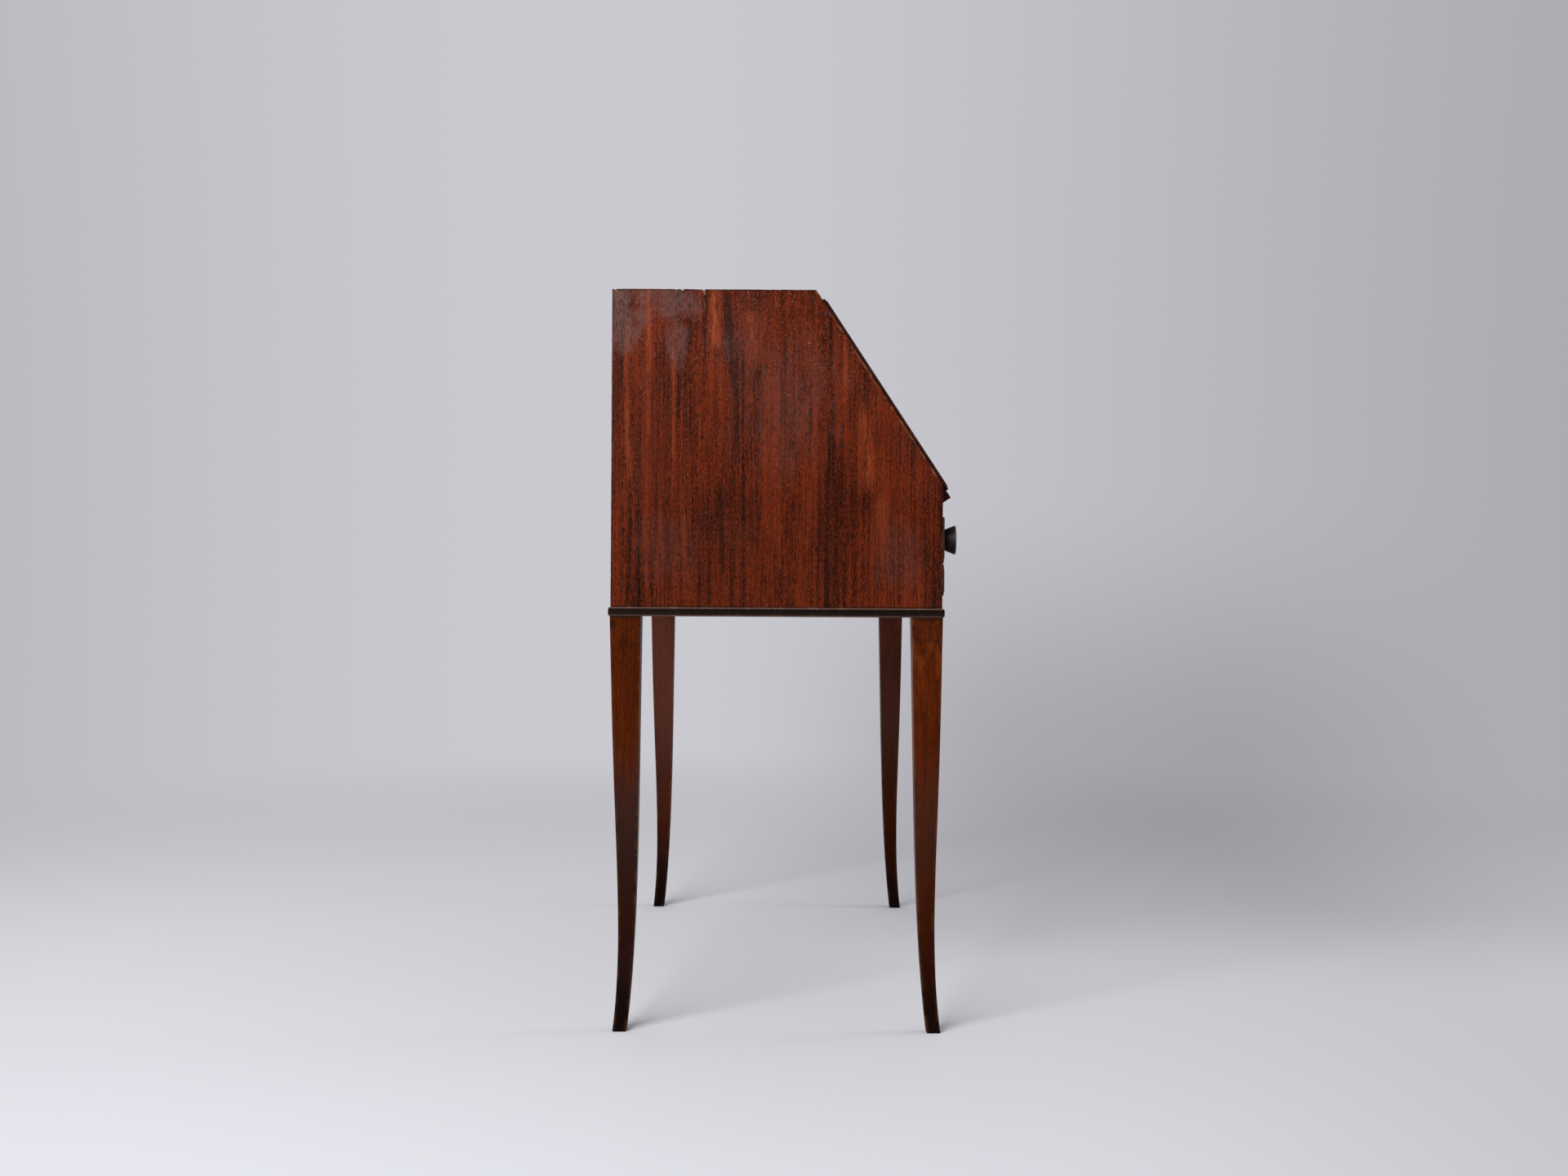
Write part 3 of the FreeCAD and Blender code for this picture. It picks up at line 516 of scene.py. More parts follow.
def dress(material, *names):
    """Give CAD nodes a finish, join their loose faces and ease their edges with a small bevel."""
    for name in names:
        piece = nodes[name]
        piece.data.materials.clear()
        piece.data.materials.append(material)
        joined = piece.modifiers.new("joined", "WELD")
        joined.merge_threshold = WELD_REACH
        eased = piece.modifiers.new("eased", "BEVEL")
        eased.width = EASED_WIDTH
        eased.segments = 2
        eased.limit_method = "ANGLE"
        eased.angle_limit = EASED_ANGLE
        eased.harden_normals = True


under_wood = wood("under_mahogany", (94, 53, 33), (44, 22, 12), "X", figure=0.7, bloom=0.1, dull=0.5,
                  shine=0.2)
dress(under_wood, "base_board")

# Case sides: one wide board of mahogany each, grain upright, cut on the slope and housed for the boards.
# The board has pale grey clouds at the back corner, a dark border of painted shade along its back, top and
# bottom arrises, and a chipped top arris.
SIDE_ARRIS = 0.0009
SIDE_ARRIS_MIDDLE = 0.3
SIDE_EASE = 0.0035
SIDE_SPACING = 0.0015
SIDE_RUB = 0.00022
SIDE_RUB_WAVES = 260
SIDE_SEED = 60
ARRIS_RINGS = np.array([0, 1, 1, 1, 0, 0, 1, 1, 1, 0.0])
SLANT_WORN, FRONT_WORN, OTHER_WORN = 2.0, 0.6, 0.2
PAINTED_SHADE_EDGE = 0.6
SLANT_LOW = 0.7613
SLANT = math.radians(56.6)
EDGE_REACH = 0.0001
# A chip has its place along the depth, its half width and how deep it cuts. It runs out at so many half
# widths, and shows in the outer rings only.
CHIPS = ((0.1426, 0.0014, 0.0038), (0.1130, 0.0016, 0.0034),
         (0.2360, 0.0018, 0.0018), (0.1510, 0.0010, 0.0012))
CHIP_RINGS = np.array([1, 1, 1, 1, 0.6, 0, 0, 0, 0, 0.0])
CHIP_REACH = 1.3
CHIP_BARE_DEPTH = 0.001
CHIP_WORN = 2.2
slant_top_y = side_low.y + (side_high.z - SLANT_LOW) / math.tan(SLANT)


def outline(corners, spacing):
    """Points at even steps along the straight sides of a polygon, and the inward direction at each.
    At a corner that is the mitre, (n1 + n2) / (1 + n1 . n2), and along a side it goes evenly from mitre to
    mitre."""
    points = []
    inward = []
    sides = np.roll(corners, -1, axis=0) - corners
    lengths = np.linalg.norm(sides, axis=1)
    runs = sides / lengths[:, None]
    normals = np.stack((-runs[:, 1], runs[:, 0]), axis=1)
    before = np.roll(normals, 1, axis=0)
    mitres = (before + normals) / (1 + (before * normals).sum(axis=1, keepdims=True))
    for number, length in enumerate(lengths):
        steps = max(2, int(length / spacing))
        share = np.arange(steps)[:, None] / steps
        points.append(corners[number] + sides[number] * share)
        inward.append(mitres[number] * (1 - share) + mitres[(number + 1) % len(corners)] * share)
    return np.concatenate(points), np.concatenate(inward)


# The figure of the side boards. A streak has its place along the depth, its middle height, its half
# width and half height, its lean, its colour and its strength.
DARK, BROWN, ORANGE = (24, 8, 5), (40, 14, 8), (172, 78, 42)
STREAKS = (
    (0.070, 0.92, 0.007, 0.16, 0.076, DARK, 0.9),
    (0.087, 0.70, 0.007, 0.08, 0.03, DARK, 0.9),
    (0.163, 0.80, 0.008, 0.16, 0.01, BROWN, 0.6),
    (0.180, 0.84, 0.006, 0.10, 0.01, BROWN, 0.5),
    (0.233, 0.88, 0.007, 0.16, 0.01, DARK, 0.5),
    (0.207, 0.94, 0.008, 0.06, 0.0, BROWN, 0.6),
    (0.187, 0.95, 0.007, 0.16, 0.0, ORANGE, 0.5),
    (0.219, 0.87, 0.006, 0.14, 0.01, ORANGE, 0.45),
    (0.154, 0.85, 0.006, 0.12, 0.0, ORANGE, 0.35),
    (0.097, 0.99, 0.012, 0.05, 0.0, ORANGE, 0.75),
    (0.040, 0.96, 0.020, 0.05, 0.05, ORANGE, 0.4),
    (-0.117, 0.81, 0.020, 0.07, 0.0, ORANGE, 0.5),
    (-0.132, 0.70, 0.016, 0.06, 0.0, ORANGE, 0.4),
    (-0.085, 0.92, 0.014, 0.05, 0.0, ORANGE, 0.3),
    (-0.060, 0.71, 0.030, 0.10, 0.0, BROWN, 0.2),
    (-0.155, 0.77, 0.016, 0.08, 0.0, BROWN, 0.35),
    (0.076, 0.965, 0.011, 0.035, 0.0, DARK, 0.6),
    (0.148, 1.024, 0.012, 0.014, 0.0, DARK, 0.5),
    # The last, broad band is painted shade, darkening the lower part of the board.
    (0.0, 0.68, 0.36, 0.11, 0.0, BROWN, 0.36))
STREAK_DRIFT = ((3, 14, 5), 3.0, 0.5)
STREAK_DRIFT_REACH = 0.02
STREAK_PATCH = ((60, 110, 10), 3.0, 0.65)
STREAK_PATCH_EDGE = (0.3, 0.55)
STREAK_FIBRE = ((300, 560, 50), 2.0, 0.6)
STREAK_FIBRE_EDGE = (0.38, 0.6, 0.3, 1.0)
DARK_STREAK_LEAST = 0.7
STREAK_FULL = 0.5
# A pale cloud has its place along the depth, its height, its half width and half height, and its strength.
CLOUDS = (
    (0.226, 0.995, 0.05, 0.06, 0.74),
    (0.160, 1.012, 0.055, 0.03, 0.6),
    (0.150, 0.955, 0.02, 0.04, 0.5),
    (-0.005, 0.87, 0.08, 0.12, 0.2),
    (0.163, 0.67, 0.06, 0.06, 0.12),
    (-0.163, 0.655, 0.045, 0.06, 0.16),
    (0.075, 0.955, 0.025, 0.03, 0.15))
CLOUD_SPECK = ((420, 420, 160), 2.0, 0.6)
CLOUD_SPECK_EDGE = (0.3, 0.7, 0.3, 1.0)
CLOUD_RAGGED = ((64, 64, 22), 4.0, 0.65)
CLOUD_RAGGED_REACH = 2.8
DUST = ((520, 520, 420), 2.0, 0.6)
DUST_EDGE = (0.62, 0.74)
DUST_STEP = (0.8, 1.0, 0.1, 0.55)


def panel_figure_and_shade(tree, place, colour):
    """The side board's own figure: dark, brown and orange upright streaks, some leaning, pale grey clouds in
    places, fine dust towards the top, and painted shade as a broad brown band over the lower part. A streak
    fades with the distance from its line, abs(across - place - lean * up), and a cloud with the square of
    the distance from its middle, each axis as a share of its half size."""
    _, depth, height = axes(tree, place)
    drift = both_ways(tree, noise(tree, place, *STREAK_DRIFT)["Fac"])
    across = reckon(tree, "MULTIPLY_ADD", drift, STREAK_DRIFT_REACH, depth)
    patchy = patches(tree, place, STREAK_PATCH, STREAK_PATCH_EDGE)
    fibrous = patches(tree, place, STREAK_FIBRE, STREAK_FIBRE_EDGE)
    break_up = times(tree, patchy, fibrous)
    for centre, middle, half, tall, slope, streak, amount in STREAKS:
        up = reckon(tree, "SUBTRACT", height, middle)
        away = reckon(tree, "SUBTRACT", across, centre)
        away = reckon(tree, "ABSOLUTE", reckon(tree, "MULTIPLY_ADD", up, -slope, away))
        broken = reckon(tree, "MAXIMUM", break_up, DARK_STREAK_LEAST if streak == DARK else 0.0)
        mask = times(tree, ramp(tree, away, 0.0, half, amount, 0.0), broken)
        ends = ramp(tree, reckon(tree, "ABSOLUTE", up), tall * STREAK_FULL, tall, 1.0, 0.0)
        colour = blend(tree, times(tree, mask, ends), colour, tint(*streak))
    specks = patches(tree, place, CLOUD_SPECK, CLOUD_SPECK_EDGE)
    ragged = both_ways(tree, noise(tree, place, *CLOUD_RAGGED)["Fac"])
    for centre, middle, half, tall, amount in CLOUDS:
        away_y = reckon(tree, "DIVIDE", reckon(tree, "SUBTRACT", depth, centre), half)
        away_z = reckon(tree, "DIVIDE", reckon(tree, "SUBTRACT", height, middle), tall)
        away = reckon(tree, "ADD", reckon(tree, "POWER", away_y, 2.0), reckon(tree, "POWER", away_z, 2.0))
        away = reckon(tree, "MULTIPLY_ADD", ragged, CLOUD_RAGGED_REACH, away)
        cloud = times(tree, ramp(tree, away, 0.0, 1.0, amount, 0.0), specks)
        colour = blend(tree, cloud, colour, tint(115, 86, 81))
    dust = patches(tree, place, DUST, DUST_EDGE)
    dust = times(tree, dust, ramp(tree, height, *DUST_STEP))
    return blend(tree, dust, colour, tint(170, 140, 132))


side_wood = wood("side_mahogany", (127, 46, 14), (17, 3, 1), "Z", figure=0.9, bloom=0.06, dull=0.3, rub=0.4,
                 rubbed=(150, 96, 70), shine=0.07, stain=panel_figure_and_shade)
side_corners = np.array([[side_low.y, side_low.z], [side_high.y, side_low.z], [side_high.y, side_high.z],
                         [slant_top_y, side_high.z], [side_low.y, SLANT_LOW]])
edge, inward = outline(side_corners, SIDE_SPACING)
arris_middle = SIDE_ARRIS * SIDE_ARRIS_MIDDLE
side_steps = np.array([[SIDE_EASE, 0], [SIDE_ARRIS, 0], [arris_middle, arris_middle], [0, SIDE_ARRIS],
                       [0, SIDE_EASE]])
side_thick = side_high.x - side_low.x
side_steps = np.concatenate((side_steps, side_steps[::-1] * (1, -1) + (0, side_thick)))
on_top = edge[:, 1] > side_high.z - EDGE_REACH
on_slant = (edge[:, 1] > SLANT_LOW) & (edge[:, 0] < slant_top_y)
on_front = edge[:, 0] < side_low.y + EDGE_REACH
chip = np.zeros(len(edge))
for chip_y, chip_half, chip_deep in CHIPS:
    chip += on_top * chip_deep * np.clip(CHIP_REACH - np.abs(edge[:, 0] - chip_y) / chip_half, 0, 1)
side_worn = ARRIS_RINGS[:, None] * np.select([on_slant, on_front], [SLANT_WORN, FRONT_WORN], OTHER_WORN)
side_worn = side_worn + CHIP_RINGS[:, None] * np.clip(chip / CHIP_BARE_DEPTH, 0, CHIP_WORN)
# Painted shade: a dark border along the back, top and bottom arrises.
side_painted_shade = ARRIS_RINGS[:, None] * np.where(on_slant | on_front, 0.0, PAINTED_SHADE_EDGE)
for word, sign in (("left", -1), ("right", 1)):
    rub_line = np.abs(smooth_noise(SIDE_SEED + sign, len(edge), SIDE_RUB_WAVES, SIDE_RUB))
    inset = side_steps[:, 0, None] + rub_line * ARRIS_RINGS[:, None] + CHIP_RINGS[:, None] * chip
    flat = edge[None] + inward[None] * inset[:, :, None]
    reach = np.broadcast_to(side_steps[:, 1, None, None], flat.shape[:2] + (1,))
    grid = np.concatenate((sign * (panel_x - reach), flat), axis=2)
    skin("side_board_" + word, [(grid, side_worn, side_painted_shade)], side_wood, "case", "mahogany",
         "side_panel_" + word)

# Case boards: the top, writing and bottom boards, the blade between the drawers and the dust board behind
# it, all of mahogany and housed in the sides. The two loper guides are glued in between the dust board and
# the writing board.
top_wood = wood("top_mahogany", (124, 54, 30), (42, 12, 4), "X", (0.3, 0.1, 0.2), bloom=0.2, dull=0.44,
                shine=0.07)
dress(top_wood, "top_board", "writing_board", "drawer_blade", "bottom_board")
dress(under_wood, "dust_board", "loper_guide_left", "loper_guide_right")

# Back panel: one board of plain mahogany, housed in the sides.
# Countersunk steel screws hold it to the boards of the case.
back_wood = wood("back_mahogany", (108, 56, 34), (48, 20, 9), "X", (0.1, 0.4, 0.3), bloom=0.15, dull=0.45,
                 shine=0.2)
dress(back_wood, "back_panel")
TARNISH = ((180, 180, 180), 4.0, 0.65)
TARNISH_EDGE = (0.35, 0.65)
TARNISH_DULL = 0.2
SCRATCH = ((900, 4000, 900), 2.0, 0.5)
SCRATCH_DULL = 0.2
METAL_BUMP = (0.15, 0.0001)


def metal(name, bright, dull_colour, rough):
    """A worn metal: bright where it is rubbed and brown where it has tarnished, with fine scratches."""
    material, tree, shader, place = new_material(name)
    tarnish = patches(tree, place, TARNISH, TARNISH_EDGE)
    scratch = noise(tree, place, *SCRATCH)["Fac"]
    wire(tree, shader.inputs["Base Color"], blend(tree, tarnish, tint(*bright), tint(*dull_colour)))
    shader.inputs["Metallic"].default_value = 1.0
    roughness = reckon(tree, "ADD", times(tree, tarnish, TARNISH_DULL),
                       times(tree, scratch, SCRATCH_DULL))
    wire(tree, shader.inputs["Roughness"], reckon(tree, "ADD", roughness, rough))
    bump(tree, shader, scratch, *METAL_BUMP)
    return material


steel = metal("screw_steel", (150, 146, 140), (74, 64, 56), 0.25)
dress(steel, "back_panel_screws")

# Inner fitment: a thin shelf of paler mahogany, housed in the sides, over the writing board.
# Two upright partitions are glued under it, and four scooped dividers over it make the pigeonholes.
FITMENT_PALE, FITMENT_DEEP = (144, 76, 43), (72, 29, 12)
fitment_wood = wood("fitment_mahogany", FITMENT_PALE, FITMENT_DEEP, "X", (0.5, 0.2, 0.7), figure=0.8,
                    bloom=0.05, dull=0.4)
divider_wood = wood("divider_mahogany", FITMENT_PALE, FITMENT_DEEP, "Y", (0.2, 0.6, 0.1), figure=0.8,
                    bloom=0.05, dull=0.4)
dress(fitment_wood, "inner_shelf")
dress(divider_wood, "inner_partitions", "pigeonhole_dividers")

# Hinges: two brass butts, let in flush, with one leaf in the writing board and one in the lid.
# A steel pin runs through the five knuckles of each, and countersunk steel screws hold the leaves.
brass = metal("hinge_brass", (196, 160, 92), (122, 90, 46), 0.18)
dress(brass, "hinge_case_leaves", "hinge_lid_leaves")
dress(steel, "hinge_pins", "hinge_case_screws", "hinge_lid_screws")

# Lid: a mahogany board with a cleat tongued on at each end, and a moulded facing glued over it that stands
# proud of the slope. The facing has an ovolo and a step all round.
FACING_LOW, FACING_HIGH = 0.012, 0.328
LID_CORE = 0.0143
LID_EDGES = (0.4, 1.0, 0.4, 1.0)
LID_SEED = 70
PLATE_THICK = 0.004
PLATE_BACK_EASE = 0.0003
PLATE_SPACING = 0.006
PLATE_RUB = 0.00015
PLATE_RUB_POINTS = 4
PLATE_LEAST_WAVES = 8
OVOLO_WIDE, OVOLO_HIGH, LIP_HIGH = 0.0045, 0.0021, 0.0009
FILLET = [[0.0047, 0.0031], [0.0048, 0.0037], [0.0051, PLATE_THICK], [0.009, PLATE_THICK]]
PLATE_WORN = np.array([0, 0.3, 0.6, 0.8, 0.5, 0.3, 0.1, 0.0, 0.1, 0.8, 1, 0])
PLATE_BORDER = np.array([1, 1, 0.9, 0.7, 0.6, 0.6, 0.6, 0.8, 1, 0.9, 0, 0.0])
UP_SLOPE = np.array([0, math.cos(SLANT), math.sin(SLANT)])
OFF_SLOPE = np.array([0, -math.sin(SLANT), math.cos(SLANT)])
ovolo_turn = np.linspace(0, math.pi / 2, 6)
ovolo = np.stack((OVOLO_WIDE * (1 - np.cos(ovolo_turn)), LIP_HIGH + OVOLO_HIGH * np.sin(ovolo_turn)), axis=1)
plate_steps = np.concatenate(([[PLATE_BACK_EASE, 0], [0, PLATE_BACK_EASE]], ovolo, FILLET))
lid_joint = next(joint for joint in frame["joints"] if joint["name"] == "lid_hinge")
pivot = np.array(lid_joint["pos_m"])
facing_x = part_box("lid_facing")[1].x
lid_wood = wood("lid_mahogany", (124, 54, 30), (42, 12, 4), "X", (0.7, 0.3, 0.5), bloom=0.12, dull=0.28,
                rub=0.25)
# The cleats are a darker copy of the lid's mahogany: painted shade for their ends below the facing.
shaded_cleat_wood = wood("cleat_mahogany_painted_shade", (94, 39, 21), (30, 9, 3), "Z", (0.4, 0.8, 0.5), bloom=0.05, dull=0.32)
dress(top_wood, "lid_board")
dress(shaded_cleat_wood, "lid_cleat_left", "lid_cleat_right")


def plate(corners, place, seed, left, low, right, top):
    """A flat plate with an ovolo and a fillet round its edge.
    Its outline is carried through the steps of inset and height, with the rubbed corners drawn in a little.
    The last four values are the share of the moulding's width that each edge has."""
    line, facing = outline(np.array(corners), PLATE_SPACING)
    facing = np.where(facing > 0, facing * (left, low), facing * (right, top))
    waves = max(PLATE_LEAST_WAVES, len(line) // PLATE_RUB_POINTS)
    rub_line = np.abs(smooth_noise(seed, len(line), waves, PLATE_RUB))
    inset = plate_steps[:, 0, None] + PLATE_WORN[:, None] * rub_line
    flat = line[None] + facing[None] * inset[:, :, None]
    grid = place(flat[..., 0], flat[..., 1], np.broadcast_to(plate_steps[:, 1, None], flat.shape[:2]))
    return grid, PLATE_WORN[:, None], PLATE_BORDER[:, None]


def on_slope(x, up, off):
    """Points of the lid's facing: x across, up the slope from the hinge line, and off the lid's board."""
    return (pivot + x[..., None] * np.array([1, 0, 0]) + up[..., None] * UP_SLOPE
            + (off[..., None] + LID_CORE) * OFF_SLOPE)


facing_corners = [[-facing_x, FACING_LOW], [facing_x, FACING_LOW], [facing_x, FACING_HIGH],
                  [-facing_x, FACING_HIGH]]
lid_plate = plate(facing_corners, on_slope, LID_SEED, *LID_EDGES)
skin("lid_facing_moulded", [lid_plate], lid_wood, "lid", "mahogany", "lid_facing")

# Knobs: turned from wood that is stained black, flared to a dished face, with a spigot glued into the wood
# behind. The lid, the lopers and the upper drawer have the full size, the lower drawer and the inner drawers
# smaller ones. A size gives the radius at foot and face, the length, and the spigot's radius and length.
FULL_KNOB = (0.0138, 0.0204, 0.0174, 0.005, 0.012)
SMALL_KNOB = (0.008, 0.0126, 0.013, 0.005, 0.008)
TINY_KNOB = (0.005, 0.0078, 0.011, 0.0025, 0.006)
TOWARD_FRONT = (0, -1, 0)
LID_KNOB_UP = 0.282
KNOB_TURN = np.linspace(0, 2 * math.pi, 64, endpoint=False)
NECK_SHARE = np.linspace(0, 1, 14)[:, None]
RIM_TURN = np.linspace(0, math.pi / 2, 6)[1:]
RIM_HIGH = 0.07
RIM_WIDE = 0.8
# The dish as shares of the face's radius and of the length, with how rubbed it is
DISH = np.array([[0.88, 1.0], [0.84, 0.985], [0.8, 0.95], [0.6, 0.9], [0.3, 0.87], [0.04, 0.86]])
DISH_WORN = [0.8, 0.5, 0, 0, 0, 0]
NECK_TOP_WORN = [0.5, 1]
SPIGOT_TIP = 0.9
SPIGOT_TIP_LENGTH = 0.04
KNOB_SHINE = 0.28
KNOB_BUMP = (0.3, 0.0004)


def ebonised(name):
    """Black stained wood under a satin polish, with open grain and greyed rims."""
    material, tree, shader, place = new_material(name)
    boards = placed(tree, grain, Place=place, Pale=tint(36, 30, 34), Deep=tint(12, 10, 12), Figure=0.5)
    coat = placed(tree, polish, Place=place, Bloom=0.12, Dull=0.34)
    rub_and_highlight = placed(tree, wear_and_highlight, Place=place, Arris=kept_share(tree, "arris"), Amount=0.5)
    colour = blend(tree, coat["Haze"], boards["Colour"], tint(70, 64, 68))
    colour = blend(tree, rub_and_highlight["Mask"], colour, tint(84, 72, 66))
    wire(tree, shader.inputs["Base Color"], colour)
    wire(tree, shader.inputs["Roughness"], coat["Roughness"])
    shader.inputs["Specular IOR Level"].default_value = KNOB_SHINE
    bump(tree, shader, boards["Height"], *KNOB_BUMP)
    return material


def turned(centre, axis, base, face, length, spigot_radius, spigot):
    """A lathe form: a profile of radius and height spun about the axis.
    The neck flares evenly, base + (face - base) * share, then the rim rolls over into a shallow dish."""
    rim = length * RIM_HIGH
    neck = np.concatenate((base + (face - base) * NECK_SHARE, (length - rim) * NECK_SHARE), axis=1)
    roll = np.stack((face - rim * RIM_WIDE + rim * RIM_WIDE * np.cos(RIM_TURN),
                     length - rim + rim * np.sin(RIM_TURN)), axis=1)
    stem = np.array([[spigot_radius * SPIGOT_TIP, -spigot],
                     [spigot_radius, SPIGOT_TIP_LENGTH * length - spigot], [spigot_radius, 0]])
    profile = np.concatenate((stem, neck, roll, DISH * (face, length)))
    plain = np.zeros(len(stem) + len(neck) - len(NECK_TOP_WORN))
    worn = np.concatenate((plain, NECK_TOP_WORN, np.ones(len(roll)), DISH_WORN))
    axis = np.array(axis, float)
    side = np.cross(axis, [1.0, 0, 0])
    over = np.cross(side, axis)
    ring = np.cos(KNOB_TURN)[:, None] * over + np.sin(KNOB_TURN)[:, None] * side
    grid = np.array(centre) + profile[:, 0, None, None] * ring[None] + profile[:, 1, None, None] * axis
    return grid, worn[:, None], 0


knob_black = ebonised("knob_ebonised")
lid_knob_foot = pivot + LID_KNOB_UP * UP_SLOPE + (LID_CORE + PLATE_THICK) * OFF_SLOPE
lid_knob = turned(lid_knob_foot, OFF_SLOPE, *FULL_KNOB)
skin("lid_knob_turned", [lid_knob], knob_black, "lid", "ebonised_wood", "lid_knob")

# Lopers: two square bars of mahogany that slide out at the sides to carry the open lid.
# Each has a moulded cap glued on its end and a knob in the cap.
FRONT_SHARE = 0.7
PLANED_OFF = PLATE_THICK * (1 - FRONT_SHARE)
UPPER_EDGES = (0.6, 1.3, 0.6, 0.25)
LOPER_SEED = 80
front_wood = wood("front_mahogany", (122, 53, 29), (42, 12, 4), "X", (0.9, 0.5, 0.1), bloom=0.1, dull=0.28,
                  rub=0.25)
dress(divider_wood, "loper_bar_left", "loper_bar_right")


def front_corners(low, high):
    """The four corners of a plate that faces the front, read as right-handed from in front."""
    return [[low.x, low.z], [high.x, low.z], [high.x, high.z], [low.x, high.z]]


def facing_front(depth):
    """Places a plate upright with its back at a depth, standing out towards the front.
    The front plates are planed to a share of the lid facing's thickness."""
    return lambda x, z, off: np.stack((x, depth - off * FRONT_SHARE, z), axis=-1)


for number, word in enumerate(("left", "right")):
    low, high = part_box("loper_cap_" + word)
    cap = plate(front_corners(low, high), facing_front(high.y), LOPER_SEED + number, *UPPER_EDGES)
    skin("loper_cap_moulded_" + word, [cap], front_wood, "loper_" + word, "mahogany", "loper_cap_" + word)
    centre = ((low.x + high.x) / 2, low.y + PLANED_OFF, (low.z + high.z) / 2)
    knob = turned(centre, TOWARD_FRONT, *FULL_KNOB)
    skin("loper_knob_turned_" + word, [knob], knob_black, "loper_" + word, "ebonised_wood",
         "loper_knob_" + word)

# Drawers: two, one over the other, each with a lipped mahogany front, a moulded plate and two knobs, and
# sides, back and bottom of pale lining wood. They slide on the boards of the case under them, and the lip
# covers the edges of the opening.
LOWER_EDGES = (0.6, 1.0, 0.6, 1.5)
DRAWER_SEED = 90
DRAWER_KNOB_X = 0.14
SIDE_DROP = 0.004
CORE_SPACING = 0.03
CORE_LAP = 0.0005
CORE_EASE = 0.001
CORE_EASE_MIDDLE = 0.0003
lining = {word: wood("drawer_lining_" + word, (174, 131, 85), (112, 75, 42), word, (0.3, 0.7, 0.2),
                     figure=0.6, bloom=0.0, dull=0.55, shine=0.15) for word in ("X", "Y")}


def core(low_x, high_x, low_z, high_z, front_y, back_y):
    """The plain board behind a front plate: its outline carried to the back, with the back arrises eased."""
    steps = np.array([[0, front_y], [0, back_y - CORE_EASE], [CORE_EASE_MIDDLE, back_y - CORE_EASE_MIDDLE],
                      [CORE_EASE, back_y]])
    corners = np.array([[low_x, low_z], [high_x, low_z], [high_x, high_z], [low_x, high_z]])
    line, facing = outline(corners, CORE_SPACING)
    flat = line[None] + facing[None] * steps[:, 0, None, None]
    depth = np.broadcast_to(steps[:, 1, None], flat.shape[:2])
    return np.stack((flat[..., 0], depth, flat[..., 1]), axis=-1), 0, 0


drawer_kinds = (("upper_drawer", FULL_KNOB, UPPER_EDGES), ("lower_drawer", SMALL_KNOB, LOWER_EDGES))
for number, (name, knob_size, edges) in enumerate(drawer_kinds):
    low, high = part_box(name + "_front")
    left_low, left_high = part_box(name + "_side_left")
    plate_back = low.y + PLATE_THICK
    board = core(left_low.x, -left_low.x, left_low.z, left_high.z + SIDE_DROP, plate_back - CORE_LAP, high.y)
    lip = plate(front_corners(low, high), facing_front(plate_back), DRAWER_SEED + number, *edges)
    skin(name + "_lipped_front", [lip, board], front_wood, name, "mahogany", name + "_front")
    knob_pair = [turned((x, low.y + PLANED_OFF, (low.z + high.z) / 2), TOWARD_FRONT, *knob_size)
                 for x in (-DRAWER_KNOB_X, DRAWER_KNOB_X)]
    skin(name + "_knobs_turned", knob_pair, knob_black, name, "ebonised_wood", name + "_knobs")
    dress(lining["Y"], name + "_side_left", name + "_side_right", name + "_bottom")
    dress(lining["X"], name + "_back")

# Inner drawers: two small drawers that slide on the writing board, one at each end under the shelf.
# Each has a mahogany front, a box of thin lining wood glued behind it, and one small knob.
for word in ("left", "right"):
    name = "inner_drawer_" + word
    low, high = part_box(name + "_front")
    dress(fitment_wood, name + "_front")
    dress(lining["Y"], name + "_box")
    centre = ((low.x + high.x) / 2, low.y, (low.z + high.z) / 2)
    knob = turned(centre, TOWARD_FRONT, *TINY_KNOB)
    skin(name + "_knob_turned", [knob], knob_black, name, "ebonised_wood", name + "_knob")

# Studio: a round floor of pale paper that fades into a grey surround, lit by a large soft lamp from the back
# left and a small one from the front, with the camera square to the left side of the desk.
# The floor carries a painted shadow, greyer in front of the desk and most on its far side, and is painted
# paler away from the camera where the key lamp reaches it less. The surround has a broad glow and a faint
# shadow beyond it.
FLOOR_REACH = 5.0
FLOOR_MIDDLE = 0.02
FLOOR_RINGS = 60
FLOOR_SECTORS = 96
FLOOR_FADE = (0.9, 2.9, 1.0, 0.0)
FLOOR_PAINTED_LIGHT_ACROSS = (-0.9, 0.5)
FLOOR_SHADOW_AHEAD = (0.25, 1.1)
FLOOR_SHADOW_ACROSS = (-0.3, 0.5, 0.36, 0.85)
FLOOR_ROUGH = 0.9
floor_radius = np.linspace(FLOOR_MIDDLE, FLOOR_REACH, FLOOR_RINGS)[:, None]
around = np.linspace(0, 2 * math.pi, FLOOR_SECTORS, endpoint=False)[None, :]
disc = np.stack((floor_radius * np.cos(around), floor_radius * np.sin(around),
                 np.zeros((FLOOR_RINGS, FLOOR_SECTORS))), axis=-1)
number = np.arange(FLOOR_RINGS * FLOOR_SECTORS).reshape(FLOOR_RINGS, FLOOR_SECTORS)
ahead = np.roll(number, -1, axis=1)
quads = np.stack((number[:-1], number[1:], ahead[1:], ahead[:-1]), axis=-1).reshape(-1, 4)
floor_mesh = bpy.data.meshes.new("studio_floor")
floor_mesh.from_pydata(disc.reshape(-1, 3).tolist(), [], quads.tolist() + [number[0].tolist()])
floor = bpy.data.objects.new("studio_floor", floor_mesh)
bpy.context.scene.collection.objects.link(floor)
paper, tree, shader, place = new_material("studio_paper")
from_middle = reckon_vector(tree, "LENGTH", place)["Value"]
from_above = reckon(tree, "SUBTRACT", 1.0, tree.nodes.new("ShaderNodeNewGeometry").outputs["Backfacing"])
